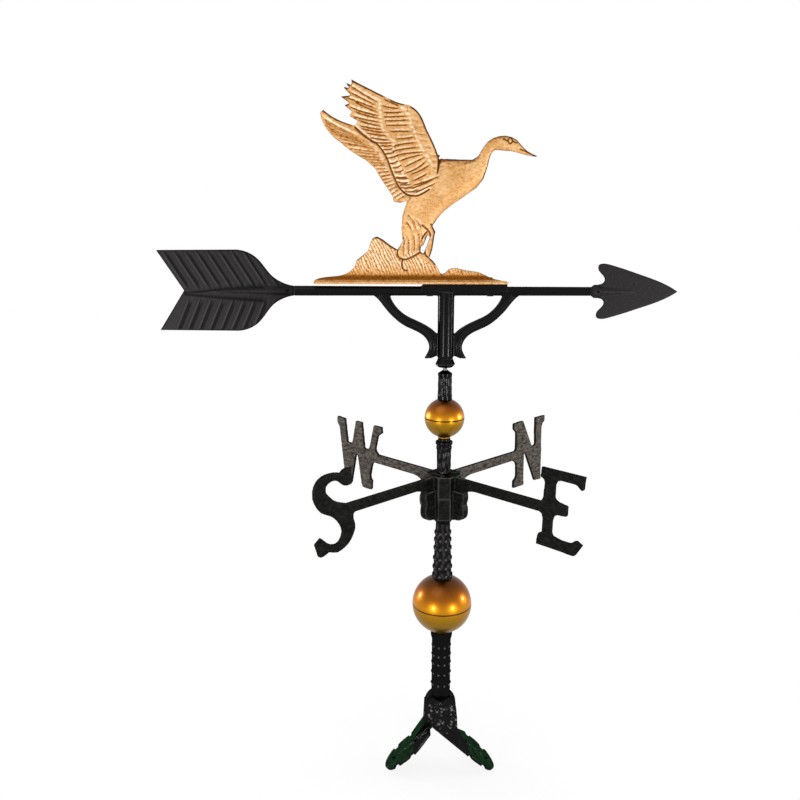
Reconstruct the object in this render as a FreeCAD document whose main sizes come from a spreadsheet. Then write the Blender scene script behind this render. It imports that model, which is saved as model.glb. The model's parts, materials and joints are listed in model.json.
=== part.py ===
import FreeCAD, Part
import math
import os
import Sketcher

# Duck weathervane. A rod stands on a roof ridge in two hinged leaf-shaped feet. Spires, globes
# and the cross of compass letters are stacked on the rod, and an arrow with a duck turns on its tip.
# The origin is the roof's ridge under the rod. +Z is up, +X is the arrow's point, Y is the ridge.

doc = FreeCAD.newDocument("duck_weathervane")
sheet = doc.addObject("Spreadsheet::Sheet", "sizes")

# Driving sizes in millimetres and degrees
SIZES = {
    # Roof feet and the round knuckle that they hinge on
    "roof_slope_angle": 42.0,
    "sole_drop": 17.4,
    "knuckle_radius": 19.1,
    "cheek_depth": 17.8,
    "cheek_edge_radius": 9.5,
    "tongue_thickness": 8.0,
    "tongue_relief": 0.3,
    "side_play": 0.2,
    "leaf_start": 31.0,
    "leaf_end": 103.5,
    "leaf_width": 44.0,
    "leaf_thickness": 3.5,
    "midrib_height": 1.6,
    "midrib_width": 3.2,
    "neck_end": 60.0,
    "neck_bend": 33.0,
    "neck_bend_height": 11.0,
    "roof_screw_hole": 5.0,
    "roof_screw_spacing": 36.0,
    "roof_screw_reach": 70.0,
    # Pivot bolt
    "pivot_diameter": 6.0,
    "pivot_play": 0.08,
    "pivot_head_across": 10.0,
    "pivot_head_height": 4.0,
    "pivot_head_play": 0.6,
    "pivot_thread_length": 11.0,
    "pivot_end_room": 1.5,
    "pivot_seat_wall": 6.0,
    # Base spire
    "spire_gap": 0.4,
    "base_tube_diameter": 22.5,
    "base_spire_length": 82.9,
    "base_collar_diameter": 25.6,
    "base_collar_height": 5.0,
    "base_collar_taper": 6.5,
    "shoulder_height": 9.0,
    "shoulder_bow": 15.0,
    "shoulder_angle": 37.0,
    # Rod and spindle
    "rod_diameter": 8.0,
    "rod_play": 0.2,
    "rod_socket": 58.0,
    "spindle_diameter": 4.8,
    "spindle_play": 0.09,
    "spindle_dome": 0.9,
    "ball_diameter": 4.6,
    "ball_play": 0.06,
    # Globes
    "large_globe_diameter": 69.8,
    "large_neck_diameter": 21.5,
    "large_neck_length": 1.5,
    "small_globe_diameter": 45.0,
    "small_neck_diameter": 14.0,
    "small_neck_length": 1.7,
    "globe_wall": 0.9,
    "globe_seam_drop": 1.8,
    "globe_lap": 3.4,
    "globe_lap_root": 1.4,
    # Middle spire
    "middle_spire_length": 76.4,
    "middle_bottom_diameter": 22.0,
    "middle_top_diameter": 16.4,
    "middle_lip_diameter": 24.0,
    "middle_lip_height": 1.6,
    "middle_collar_diameter": 20.5,
    "middle_collar_height": 5.6,
    # Cross of compass letters
    "hub_height": 51.0,
    "hub_reach": 18.4,
    "bar_width": 18.0,
    "bracket_thickness": 9.0,
    "lap_play": 0.15,
    "arm_depth": 11.6,
    "arm_thickness": 3.6,
    "bracket_reach": 16.0,
    "arm_fillet_run": 14.0,
    "letter_height": 85.2,
    "letter_thickness": 3.6,
    "letter_n_reach": 193.9,
    "letter_e_reach": 186.6,
    "letter_s_reach": 191.2,
    "letter_w_reach": 184.2,
    "letter_n_width": 65.6,
    "letter_e_width": 55.5,
    "letter_s_width": 54.3,
    "letter_w_width": 83.0,
    # Upper spire, top spire and the cap on them
    "upper_spire_length": 41.9,
    "upper_bottom_diameter": 15.6,
    "upper_top_diameter": 16.6,
    "ring_diameter": 19.4,
    "ring_height": 4.6,
    "small_ring_diameter": 17.8,
    "small_ring_height": 3.0,
    "ring_gap": 2.0,
    "ring_neck_height": 3.4,
    "top_spire_length": 27.4,
    "top_bottom_diameter": 16.4,
    "top_top_diameter": 15.2,
    "cap_diameter": 15.9,
    "cap_band_height": 2.6,
    "cap_cone_height": 3.4,
    "cap_tip_diameter": 6.4,
    # Arrow's centre casting
    "vane_gap": 3.6,
    "shaft_height": 84.0,
    "shaft_tail_diameter": 10.9,
    "shaft_head_diameter": 9.7,
    "tail_joint": 166.0,
    "head_joint": 158.0,
    "tenon_diameter": 6.4,
    "tenon_length": 13.0,
    "tenon_end_room": 0.8,
    "sleeve_diameter": 18.0,
    "bell_diameter": 22.0,
    "bell_lip_diameter": 15.5,
    "bell_lip_height": 3.4,
    "bell_height": 9.6,
    "bell_neck_diameter": 16.6,
    "bore_depth": 72.0,
    "bush_diameter": 8.0,
    "bush_length": 12.0,
    "pad_tail_end": 27.0,
    "pad_head_end": 66.0,
    "pad_height": 7.9,
    "pad_width": 11.0,
    "brace_span": 82.0,
    "brace_drop": 79.0,
    "brace_thickness": 6.0,
    "brace_ridge_width": 3.4,
    "brace_ridge_height": 1.8,
    # Arrow's tail and point
    "tail_length": 148.0,
    "tail_width": 88.0,
    "tail_thickness": 4.6,
    "tail_spine_end_diameter": 3.6,
    "head_length": 94.0,
    "head_width": 60.0,
    "head_thickness": 5.0,
    "head_ridge_diameter": 8.6,
    "ferrule_diameter": 14.6,
    "ferrule_length": 9.0,
    "pin_diameter": 2.5,
    "pin_offset": 6.5,
    # Duck on its mound
    "duck_left": 144.0,
    "duck_length": 238.0,
    "duck_height": 209.0,
    "mound_thickness": 8.0,
    "foot_flange_width": 18.0,
    "foot_flange_height": 2.6,
    "body_thickness": 19.0,
    "wing_offset": 1.6,
    "wing_thickness": 4.4,
    "covert_step": 1.8,
    "leg_thickness": 6.0,
    "ornament_screw_diameter": 4.0,
    "ornament_screw_depth": 7.0,
    "ornament_head_diameter": 7.4,
    "ornament_head_height": 3.0,
    "ornament_screw_back": 18.0,
    "ornament_screw_front": 48.0,
    # Every cut runs this far past the face that it starts from
    "overrun": 1.0,
}

for row, (alias, value) in enumerate(SIZES.items(), start=1):
    sheet.set(f"A{row}", alias.replace("_", " "))
    sheet.set(f"B{row}", str(value))
    sheet.setAlias(f"B{row}", alias)
doc.recompute()


class Size:
    """A value together with the sheet expression that it comes from."""

    def __init__(self, text, value):
        self.text = text
        self.value = value

    def __add__(self, other):
        return joined(self, "+", other, self.value + value_of(other))

    def __sub__(self, other):
        return joined(self, "-", other, self.value - value_of(other))

    def __mul__(self, other):
        return joined(self, "*", other, self.value * value_of(other))

    def __rmul__(self, other):
        return joined(other, "*", self, value_of(other) * self.value)

    def __truediv__(self, other):
        return joined(self, "/", other, self.value / value_of(other))

    def __neg__(self):
        return Size(f"(0 - {self.text})", -self.value)


def value_of(item):
    """The number behind a size or a plain number."""
    return item.value if isinstance(item, Size) else float(item)


def text_of(item):
    """The expression behind a size or a plain number."""
    return item.text if isinstance(item, Size) else repr(float(item))


def joined(left, sign, right, value):
    """Two sizes joined by an arithmetic sign."""
    return Size(f"({text_of(left)} {sign} {text_of(right)})", value)


def size(name):
    """The driving size with this name."""
    return Size("sizes." + name, SIZES[name])


def cosine(angle):
    """Cosine of an angle in degrees."""
    return Size(f"cos({angle.text})", math.cos(math.radians(angle.value)))


def sine(angle):
    """Sine of an angle in degrees."""
    return Size(f"sin({angle.text})", math.sin(math.radians(angle.value)))


def chord(radius, offset):
    """Half width of a circle at this distance from its centre."""
    text = f"sqrt({radius.text} * {radius.text} - {offset.text} * {offset.text})"
    return Size(text, math.sqrt(radius.value ** 2 - offset.value ** 2))


ZERO = Size("0", 0.0)
CURVE = "curve"
UP = FreeCAD.Vector(0, 0, 1)
ALONG_RIDGE = FreeCAD.Vector(0, 1, 0)


# Helpers that draw sketches and turn them into solids

def new_body(label, lift=ZERO, rotation=None):
    """A body whose own frame stands at this height on the mast's axis."""
    body = doc.addObject("PartDesign::Body", label)
    body.Label = label
    turn = rotation if rotation else FreeCAD.Rotation()
    body.Placement = FreeCAD.Placement(FreeCAD.Vector(0, 0, lift.value), turn)
    body.setExpression("Placement.Base.z", lift.text)
    return body


def new_sketch(body, name, role="XZ_Plane", lift=ZERO):
    """A sketch on one of the body's own planes, moved along that plane's normal."""
    sketch = body.newObject("Sketcher::SketchObject", body.Name + "_" + name)
    plane = [item for item in body.Origin.OriginFeatures if item.Role == role][0]
    sketch.AttachmentSupport = [(plane, "")]
    sketch.MapMode = "FlatFace"
    sketch.AttachmentOffset = FreeCAD.Placement(FreeCAD.Vector(0, 0, lift.value), FreeCAD.Rotation())
    sketch.setExpression("AttachmentOffset.Base.z", lift.text)
    return sketch


def spot(point):
    """A sketch point as a vector."""
    return FreeCAD.Vector(value_of(point[0]), value_of(point[1]), 0)


def arc_between(start, end, bow):
    """Arc of radius |bow| between two points, bulging to the left of the way for a positive bow."""
    middle = (start + end) * 0.5
    half = (end - start).Length / 2
    side = 1 if bow > 0 else -1
    across = UP.cross(end - start).normalize()
    centre = middle - across * side * math.sqrt(bow * bow - half * half)
    first, last = (end, start) if side > 0 else (start, end)
    begin = math.atan2(first.y - centre.y, first.x - centre.x)
    finish = math.atan2(last.y - centre.y, last.x - centre.x)
    return Part.ArcOfCircle(Part.Circle(centre, UP, abs(bow)), begin, finish)


def tie(sketch, index, position, point):
    """Hold one end of an edge at its two sizes."""
    for kind, axis, target in (("DistanceX", -2, point[0]), ("DistanceY", -1, point[1])):
        if value_of(target) == 0:
            sketch.addConstraint(Sketcher.Constraint("PointOnObject", index, position, axis))
            continue
        number = sketch.addConstraint(
            Sketcher.Constraint(kind, -1, 1, index, position, value_of(target)))
        sketch.setExpression(f"Constraints[{number}]", text_of(target))


def trace(sketch, points):
    """Closed outline. A point is (across, up), with a third value where the edge is no straight
    line: a size bows the edge that leaves the point, and CURVE puts the point on a smooth curve."""
    corners = [index for index, point in enumerate(points) if CURVE not in point[2:]]
    edges = []
    for place, index in enumerate(corners):
        following = corners[(place + 1) % len(corners)]
        count = (following - index) % len(points) or len(points)
        stretch = [points[(index + step) % len(points)] for step in range(count + 1)]
        start = spot(stretch[0])
        end = spot(stretch[-1])
        bow = points[index][2] if len(points[index]) > 2 else None
        ends = (1, 2)
        if count > 1:
            curve = Part.BSplineCurve()
            curve.interpolate(Points=[spot(item) for item in stretch])
            number = sketch.addGeometry(curve)
        elif bow is not None:
            number = sketch.addGeometry(arc_between(start, end, value_of(bow)))
            ends = (2, 1) if value_of(bow) > 0 else (1, 2)
            radius = sketch.addConstraint(Sketcher.Constraint("Radius", number, abs(value_of(bow))))
            sketch.setExpression(f"Constraints[{radius}]", f"abs({bow.text})")
        else:
            number = sketch.addGeometry(Part.LineSegment(start, end))
        edges.append((number, ends[0], ends[1]))
        tie(sketch, number, ends[0], points[index])
    for place, (number, _, last) in enumerate(edges):
        following, first, _ = edges[(place + 1) % len(edges)]
        sketch.addConstraint(Sketcher.Constraint("Coincident", number, last, following, first))


def circle(sketch, radius, across=ZERO, up=ZERO):
    """A circle at this place of the sketch."""
    number = sketch.addGeometry(Part.Circle(spot((across, up)), UP, radius.value))
    tie(sketch, number, 3, (across, up))
    held = sketch.addConstraint(Sketcher.Constraint("Radius", number, radius.value))
    sketch.setExpression(f"Constraints[{held}]", radius.text)


def hexagon(sketch, across_flats):
    """A hexagon round the sketch's origin."""
    half = across_flats / 2
    side = across_flats / math.sqrt(3)
    trace(sketch, [(side, ZERO), (side / 2, half), (-side / 2, half),
                   (-side, ZERO), (-side / 2, -half), (side / 2, -half)])


def extrude(kind, body, sketch, length, symmetric=False, backwards=False):
    """Pad or pocket a sketch, its length bound to a size."""
    feature = body.newObject("PartDesign::" + kind, sketch.Name + "_" + kind.lower())
    feature.Profile = sketch
    feature.SideType = "Symmetric" if symmetric else "One side"
    feature.Reversed = backwards
    feature.Length = length.value
    feature.setExpression("Length", length.text)
    return feature


def pad(body, sketch, length, symmetric=False, backwards=False):
    """Add the sketch's prism to the body."""
    return extrude("Pad", body, sketch, length, symmetric, backwards)


def pocket(body, sketch, length, symmetric=False, backwards=False):
    """Cut the sketch's prism out of the body."""
    return extrude("Pocket", body, sketch, length, symmetric, backwards)


def turned(body, name, points, role="XZ_Plane"):
    """Add a profile turned about the sketch's upright axis."""
    sketch = new_sketch(body, name, role)
    trace(sketch, points)
    feature = body.newObject("PartDesign::Revolution", sketch.Name + "_turned")
    feature.Profile = sketch
    feature.ReferenceAxis = (sketch, ["V_Axis"])
    feature.Angle = 360.0
    return feature


def mirrored(points):
    """Both sides of an outline whose first half runs along one side, from one end to the other."""
    other = [(point[0], -point[1]) + tuple(point[2:]) for point in reversed(points)]
    return points + other


def turned_over(points, side):
    """The outline as it is, or for side -1 its mirror image across the upright axis."""
    return [(point[0] * side,) + tuple(point[1:]) for point in points]


def scaled(shares, length, height, left=ZERO, bottom=ZERO):
    """An outline in shares brought to size."""
    return [(left + length * point[0], bottom + height * point[1]) + tuple(point[2:])
            for point in shares]


# Heights of the stack above the ridge, each worked out from the piece below it

SLOPE = size("roof_slope_angle")
PIVOT_Z = size("sole_drop") / cosine(SLOPE)
KNUCKLE = size("knuckle_radius")
TONGUE_FACE = size("tongue_thickness") / 2
CHEEK_FACE = TONGUE_FACE + size("side_play")
ROD = size("rod_diameter") / 2
ROD_BORE = ROD + size("rod_play")
SPINDLE = size("spindle_diameter") / 2


def globe_rise(kind):
    """Height of a globe's centre above its neck's foot."""
    radius = size(kind + "_globe_diameter") / 2
    return size(kind + "_neck_length") + chord(radius, size(kind + "_neck_diameter") / 2)


def globe_top(kind, seat):
    """Height of a globe's upper flat above its centre."""
    return chord(size(kind + "_globe_diameter") / 2, seat)


LARGE_SEAT = size("middle_bottom_diameter") / 2
SMALL_SEAT = size("top_bottom_diameter") / 2
TUBE_FOOT = KNUCKLE + size("spire_gap")
BASE_TOP = PIVOT_Z + TUBE_FOOT + size("base_spire_length")
LARGE_CENTRE = BASE_TOP + globe_rise("large")
LARGE_TOP = LARGE_CENTRE + globe_top("large", LARGE_SEAT)
HUB_FOOT = LARGE_TOP + size("middle_spire_length")
HUB_TOP = HUB_FOOT + size("hub_height")
UPPER_TOP = HUB_TOP + size("upper_spire_length")
SMALL_CENTRE = UPPER_TOP + globe_rise("small")
SMALL_TOP = SMALL_CENTRE + globe_top("small", SMALL_SEAT)
CAP_FOOT = SMALL_TOP + size("top_spire_length")
CAP_TOP = CAP_FOOT + size("cap_band_height") + size("cap_cone_height")
BELL_FOOT = CAP_TOP + size("vane_gap")
SHAFT_Z = BELL_FOOT + size("shaft_height")
PAD_TOP = SHAFT_Z + size("pad_height")
BALL = size("ball_diameter") / 2
BORE_END = BELL_FOOT + size("bore_depth")
BALL_CENTRE = BORE_END - BALL
SPINDLE_TIP = BALL_CENTRE - BALL - size("ball_play")


# Roof feet: the same casting twice, one turned half round, so that each carries one half of the
# knuckle. Own frame: origin on the pivot, X down the roof's slope, Z square to it.

LEAF_SHARES = [
    (0.0, 0.34), (0.12, 0.6, CURVE), (0.24, 0.83, CURVE), (0.36, 1.0), (0.385, 0.8), (0.44, 0.8),
    (0.46, 0.97), (0.58, 0.96, CURVE), (0.70, 0.9), (0.71, 0.66), (0.77, 0.64), (0.80, 0.84),
    (0.89, 0.68, CURVE), (0.965, 0.4, CURVE), (0.995, 0.14, CURVE),
]


def roof_foot(label, rotation, through):
    """Cheek, neck and leaf of one foot; a bolt passes through one of them and is threaded into
    the other."""
    body = new_body(label, PIVOT_Z, rotation)
    depth = size("cheek_depth")
    edge = size("cheek_edge_radius")
    outer = CHEEK_FACE + depth
    turned(body, "cheek", [
        (ZERO, -CHEEK_FACE), (KNUCKLE, -CHEEK_FACE), (KNUCKLE, edge - outer, edge),
        (KNUCKLE - edge, -outer), (ZERO, -outer)], role="XY_Plane")

    neck = new_sketch(body, "neck", lift=CHEEK_FACE)
    sole = -size("sole_drop")
    leaf_top = sole + size("leaf_thickness")
    trace(neck, [
        (ZERO, ZERO), (KNUCKLE * cosine(SLOPE), KNUCKLE * sine(SLOPE)),
        (size("neck_bend"), sole + size("neck_bend_height")), (size("neck_end"), leaf_top),
        (size("neck_end"), sole), (ZERO, sole)])
    pad(body, neck, depth)

    leaf = new_sketch(body, "leaf", "XY_Plane", sole)
    length = size("leaf_end") - size("leaf_start")
    trace(leaf, scaled(mirrored(LEAF_SHARES), length, size("leaf_width") / 2, size("leaf_start")))
    pad(body, leaf, size("leaf_thickness"))

    rib = new_sketch(body, "midrib", "XY_Plane", leaf_top)
    half = size("midrib_width") / 2
    tip = size("leaf_end") - size("midrib_width")
    trace(rib, [(size("leaf_start") + half, -half), (tip - half * 2, -half), (tip, ZERO),
                (tip - half * 2, half), (size("leaf_start") + half, half)])
    pad(body, rib, size("midrib_height"))

    below = new_sketch(body, "sole")
    trace(below, [
        (-KNUCKLE - size("overrun"), sole), (-KNUCKLE - size("overrun"), sole * 2),
        (KNUCKLE + size("overrun"), sole * 2), (KNUCKLE + size("overrun"), sole)])
    pocket(body, below, (outer + size("overrun")) * 2, symmetric=True)

    hole = size("roof_screw_hole") / 2
    screws = new_sketch(body, "screw_holes", "XY_Plane", sole - size("overrun"))
    for side in (-0.5, 0.5):
        circle(screws, hole, size("roof_screw_reach") + size("roof_screw_spacing") * side)
    pocket(body, screws, (size("leaf_thickness") + size("midrib_height")) * 2, backwards=True)

    bore = new_sketch(body, "pivot_bore", lift=CHEEK_FACE - size("overrun"))
    circle(bore, size("pivot_diameter") / 2 + size("pivot_play"))
    if through:
        pocket(body, bore, (depth + size("overrun")) * 2, backwards=True)
        seat = new_sketch(body, "head_seat", lift=CHEEK_FACE + size("pivot_seat_wall"))
        circle(seat, size("pivot_head_across") / math.sqrt(3) + size("pivot_head_play"))
        pocket(body, seat, depth, backwards=True)
    else:
        deep = size("pivot_thread_length") + size("pivot_end_room")
        pocket(body, bore, deep + size("overrun"), backwards=True)
    return body


DOWN_RIGHT = FreeCAD.Rotation(ALONG_RIDGE, SLOPE.value)
roof_foot("right_foot", DOWN_RIGHT, through=False)
roof_foot("left_foot", FreeCAD.Rotation(UP, 180).multiply(DOWN_RIGHT), through=True)


# Pivot bolt: its head lies in the rear cheek and its thread holds in the front one

def pivot_bolt():
    body = new_body("pivot_bolt", PIVOT_Z)
    seat = CHEEK_FACE + size("pivot_seat_wall") + size("side_play")
    shank = new_sketch(body, "shank", lift=-seat)
    circle(shank, size("pivot_diameter") / 2)
    pad(body, shank, seat + CHEEK_FACE + size("pivot_thread_length"))
    head = new_sketch(body, "head", lift=-seat)
    hexagon(head, size("pivot_head_across"))
    pad(body, head, size("pivot_head_height"), backwards=True)


pivot_bolt()


# Base spire: tube and collar over a flat eye that stands between the two cheeks

def base_spire():
    body = new_body("base_spire", PIVOT_Z)
    tube = size("base_tube_diameter") / 2
    collar = size("base_collar_diameter") / 2
    top = TUBE_FOOT + size("base_spire_length")
    collar_foot = top - size("base_collar_height")
    bore_foot = top - size("rod_socket")
    turned(body, "tube", [
        (ZERO, TUBE_FOOT), (tube, TUBE_FOOT), (tube, collar_foot - size("base_collar_taper")),
        (collar, collar_foot), (collar, top), (ROD, top), (ROD, bore_foot), (ZERO, bore_foot)])

    eye = new_sketch(body, "eye")
    radius = KNUCKLE - size("tongue_relief")
    angle = size("shoulder_angle")
    side = (radius * cosine(angle), radius * sine(angle))
    neck_top = TUBE_FOOT + size("shoulder_height")
    trace(eye, [
        (-tube, neck_top), (tube, neck_top, -size("shoulder_bow")),
        side + (radius,), (ZERO, -radius, radius), (-side[0], side[1], -size("shoulder_bow"))])
    pad(body, eye, size("tongue_thickness"), symmetric=True)

    pin = new_sketch(body, "pivot_hole")
    circle(pin, size("pivot_diameter") / 2)
    pocket(body, pin, size("tongue_thickness") + size("overrun"), symmetric=True)


base_spire()


# Rod: screwed into the base spire, turned down to the spindle above the cap

def mast_rod():
    foot = BASE_TOP - size("rod_socket")
    body = new_body("mast_rod", foot)
    dome = size("spindle_dome")
    turned(body, "rod", [
        (ZERO, ZERO), (ROD, ZERO), (ROD, CAP_FOOT - foot), (SPINDLE, CAP_FOOT - foot),
        (SPINDLE, SPINDLE_TIP - foot - dome), (SPINDLE - dome, SPINDLE_TIP - foot),
        (ZERO, SPINDLE_TIP - foot)])


mast_rod()


# Globes: two spun halves, the lower one with a stepped lip that the upper one laps over

def globe(kind, foot, seat):
    radius = size(kind + "_globe_diameter") / 2
    wall = size("globe_wall")
    inside = radius - wall
    neck = size(kind + "_neck_diameter") / 2
    neck_length = size(kind + "_neck_length")
    rise = globe_rise(kind)
    drop = size("globe_seam_drop")
    seam = rise - drop
    seam_inside = chord(inside, drop)
    root_drop = drop + size("globe_lap_root")
    neck_inside = neck - wall

    lower = new_body(kind + "_globe_lower", foot)
    turned(lower, "shell", [
        (ROD_BORE, ZERO), (neck, ZERO), (neck, neck_length, -radius),
        (chord(radius, drop), seam), (seam_inside, seam), (seam_inside, seam + size("globe_lap")),
        (seam_inside - wall, seam + size("globe_lap")), (seam_inside - wall, rise - root_drop),
        (chord(inside, root_drop), rise - root_drop, inside),
        (neck_inside, rise - chord(inside, neck_inside)), (neck_inside, wall), (ROD_BORE, wall)])

    upper = new_body(kind + "_globe_upper", foot + rise)
    top = globe_top(kind, seat)
    turned(upper, "shell", [
        (ROD_BORE, top), (seat, top, radius), (chord(radius, drop), -drop),
        (seam_inside, -drop, -inside), (chord(inside, top - wall), top - wall),
        (ROD_BORE, top - wall)])


globe("large", BASE_TOP, LARGE_SEAT)
globe("small", UPPER_TOP, SMALL_SEAT)


# Middle spire: tapered tube between the large globe and the hub, with a lip and a collar

def middle_spire():
    body = new_body("middle_spire", LARGE_TOP)
    bottom = size("middle_bottom_diameter") / 2
    lip = size("middle_lip_diameter") / 2
    lip_top = size("middle_lip_height")
    collar = size("middle_collar_diameter") / 2
    length = size("middle_spire_length")
    collar_foot = length - size("middle_collar_height")
    slope_in = (collar - size("middle_top_diameter") / 2)
    turned(body, "tube", [
        (ROD_BORE, ZERO), (bottom, ZERO), (lip, lip_top / 2), (bottom, lip_top),
        (size("middle_top_diameter") / 2, collar_foot - slope_in), (collar, collar_foot),
        (collar, length), (ROD_BORE, length)])


middle_spire()


# Cross of compass letters: two bars that lap at the hub. Each letter's outline runs in shares of
# its width, from the end by the hub, and of its height, from the bottom.

LETTER_N_SHARES = [
    (0.002, 0.995), (0.294, 1.0), (0.585, 0.591), (0.659, 0.571), (0.718, 0.574), (0.694, 1.0),
    (1.0, 1.0), (0.998, 0.913), (0.925, 0.875), (0.905, 0.82), (0.934, 0.0), (0.735, 0.004),
    (0.404, 0.489), (0.349, 0.489), (0.366, 0.0), (0.053, 0.0), (0.05, 0.111), (0.116, 0.146),
    (0.133, 0.181), (0.123, 0.34), (0.096, 0.39), (0.029, 0.418), (0.029, 0.544), (0.078, 0.568),
    (0.101, 0.615), (0.09, 0.843), (0.041, 0.878), (0.003, 0.913),
]
LETTER_E_SHARES = [
    (0.063, 1.0), (0.995, 0.998), (0.971, 0.842), (0.953, 0.825), (0.921, 0.825), (0.841, 0.869),
    (0.8, 0.879), (0.49, 0.881), (0.409, 0.861), (0.377, 0.813), (0.371, 0.66), (0.387, 0.633),
    (0.461, 0.611), (0.659, 0.591), (0.645, 0.466), (0.625, 0.455), (0.454, 0.449), (0.369, 0.421),
    (0.339, 0.36), (0.333, 0.207), (0.359, 0.169), (0.56, 0.145), (0.728, 0.148), (0.782, 0.162),
    (0.831, 0.194), (0.881, 0.202), (1.0, 0.164), (0.852, 0.012), (0.823, 0.0), (0.0, 0.009),
    (0.02, 0.126), (0.052, 0.164), (0.117, 0.181), (0.126, 0.36), (0.097, 0.416), (0.027, 0.441),
    (0.027, 0.562), (0.095, 0.586), (0.124, 0.636), (0.144, 0.813), (0.124, 0.852), (0.05, 0.872),
]
LETTER_W_SHARES = [
    (0.002, 0.991), (0.172, 0.991), (0.266, 0.649), (0.294, 0.617), (0.323, 0.609), (0.386, 0.607),
    (0.436, 0.993), (0.569, 0.995), (0.648, 0.668), (0.675, 0.637), (0.764, 0.63), (0.822, 0.991),
    (0.994, 1.0), (1.0, 0.929), (0.989, 0.887), (0.948, 0.849), (0.896, 0.51), (0.84, 0.154),
    (0.824, 0.02), (0.799, 0.0), (0.714, 0.0), (0.682, 0.018), (0.583, 0.443), (0.564, 0.478),
    (0.535, 0.475), (0.52, 0.408), (0.448, 0.042), (0.427, 0.008), (0.389, 0.0), (0.246, 0.0),
    (0.222, 0.019), (0.218, 0.143), (0.248, 0.181), (0.254, 0.216), (0.213, 0.39), (0.188, 0.425),
    (0.125, 0.453), (0.088, 0.578), (0.128, 0.607), (0.139, 0.649), (0.084, 0.846), (0.041, 0.875),
    (0.0, 0.899),
]
LETTER_S_SHARES = [
    (0.072, 0.796), (0.18, 0.787), (0.263, 0.795), (0.322, 0.824, CURVE), (0.398, 0.864, CURVE),
    (0.549, 0.891, CURVE), (0.65, 0.873, CURVE), (0.705, 0.841, CURVE), (0.716, 0.801, CURVE),
    (0.681, 0.753, CURVE), (0.621, 0.713, CURVE), (0.549, 0.669, CURVE), (0.446, 0.627, CURVE),
    (0.361, 0.604, CURVE), (0.278, 0.585), (0.057, 0.536), (-0.063, 0.47), (0.002, 0.437, CURVE),
    (0.044, 0.4, CURVE), (0.044, 0.366, CURVE), (0.013, 0.305, CURVE), (0.0, 0.24, CURVE),
    (0.042, 0.162, CURVE), (0.134, 0.079, CURVE), (0.282, 0.018, CURVE), (0.446, -0.009, CURVE),
    (0.573, 0.008, CURVE), (0.657, 0.029), (0.772, 0.002), (0.86, -0.004), (0.897, 0.011),
    (0.982, 0.176), (0.845, 0.238), (0.75, 0.184, CURVE), (0.624, 0.125, CURVE), (0.503, 0.104, CURVE),
    (0.407, 0.117, CURVE), (0.352, 0.158, CURVE), (0.32, 0.222, CURVE), (0.337, 0.28, CURVE),
    (0.392, 0.343, CURVE), (0.499, 0.419, CURVE), (0.628, 0.475, CURVE), (0.794, 0.531, CURVE),
    (0.923, 0.627, CURVE), (0.989, 0.717, CURVE), (1.0, 0.794, CURVE), (0.971, 0.876, CURVE),
    (0.897, 0.939, CURVE), (0.775, 0.98, CURVE), (0.626, 0.995, CURVE), (0.481, 0.988, CURVE),
    (0.343, 0.967), (0.289, 0.998), (0.214, 1.009), (0.087, 1.002),
]
# The fillet under an arm and the scroll below it, in shares of the bracket's reach and the hub's
# height
FILLET_SHARES = [(1.5, 0.757, CURVE), (1.2, 0.73, CURVE), (0.93, 0.67)]
SCROLL_SHARES = [
    (0.93, 0.69), (1.0, 0.59, CURVE), (0.97, 0.5, CURVE), (0.87, 0.42), (0.98, 0.33, CURVE),
    (1.0, 0.23, CURVE), (0.93, 0.13, CURVE), (0.7, 0.05, CURVE), (0.4, 0.02),
]
# How far along its letter's width each arm runs before it is lost in the letter
ARM_RUN_SHARES = {"n": 0.25, "e": 0.25, "s": 0.4, "w": 0.2}


def letter(body, name, shares, side):
    """One letter and the arm that carries it, on the side of the hub that the sign gives."""
    width = size(f"letter_{name}_width")
    arm_top = size("hub_height")
    arm_foot = arm_top - size("arm_depth")
    foot = arm_foot + size("arm_depth") / 2 - size("letter_height") / 2
    inner = size(f"letter_{name}_reach") - width
    root = size("hub_reach")

    face = new_sketch(body, "letter_" + name)
    trace(face, turned_over(scaled(shares, width, size("letter_height"), inner, foot), side))
    pad(body, face, size("letter_thickness"), symmetric=True)

    arm = new_sketch(body, "arm_" + name)
    end = inner + width * ARM_RUN_SHARES[name]
    trace(arm, [(root * side, arm_foot), (end * side, arm_foot),
                (end * side, arm_top), (root * side, arm_top)])
    pad(body, arm, size("arm_thickness"), symmetric=True)

    reach = size("bracket_reach")
    run = root + reach + size("arm_fillet_run")
    fillet = new_sketch(body, "fillet_" + name)
    under = scaled(FILLET_SHARES, reach, arm_top, root)
    middle = arm_top / 2
    trace(fillet, turned_over(
        [(root, arm_top), (run, arm_top), (run, arm_foot)] + under + [(root, middle)], side))
    pad(body, fillet, size("arm_thickness"), symmetric=True)

    scroll = new_sketch(body, "bracket_" + name)
    lobes = scaled(SCROLL_SHARES, reach, arm_top, root)
    trace(scroll, turned_over([(root, lobes[0][1])] + lobes + [(root, ZERO)], side))
    pad(body, scroll, size("bracket_thickness"), symmetric=True)


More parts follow.
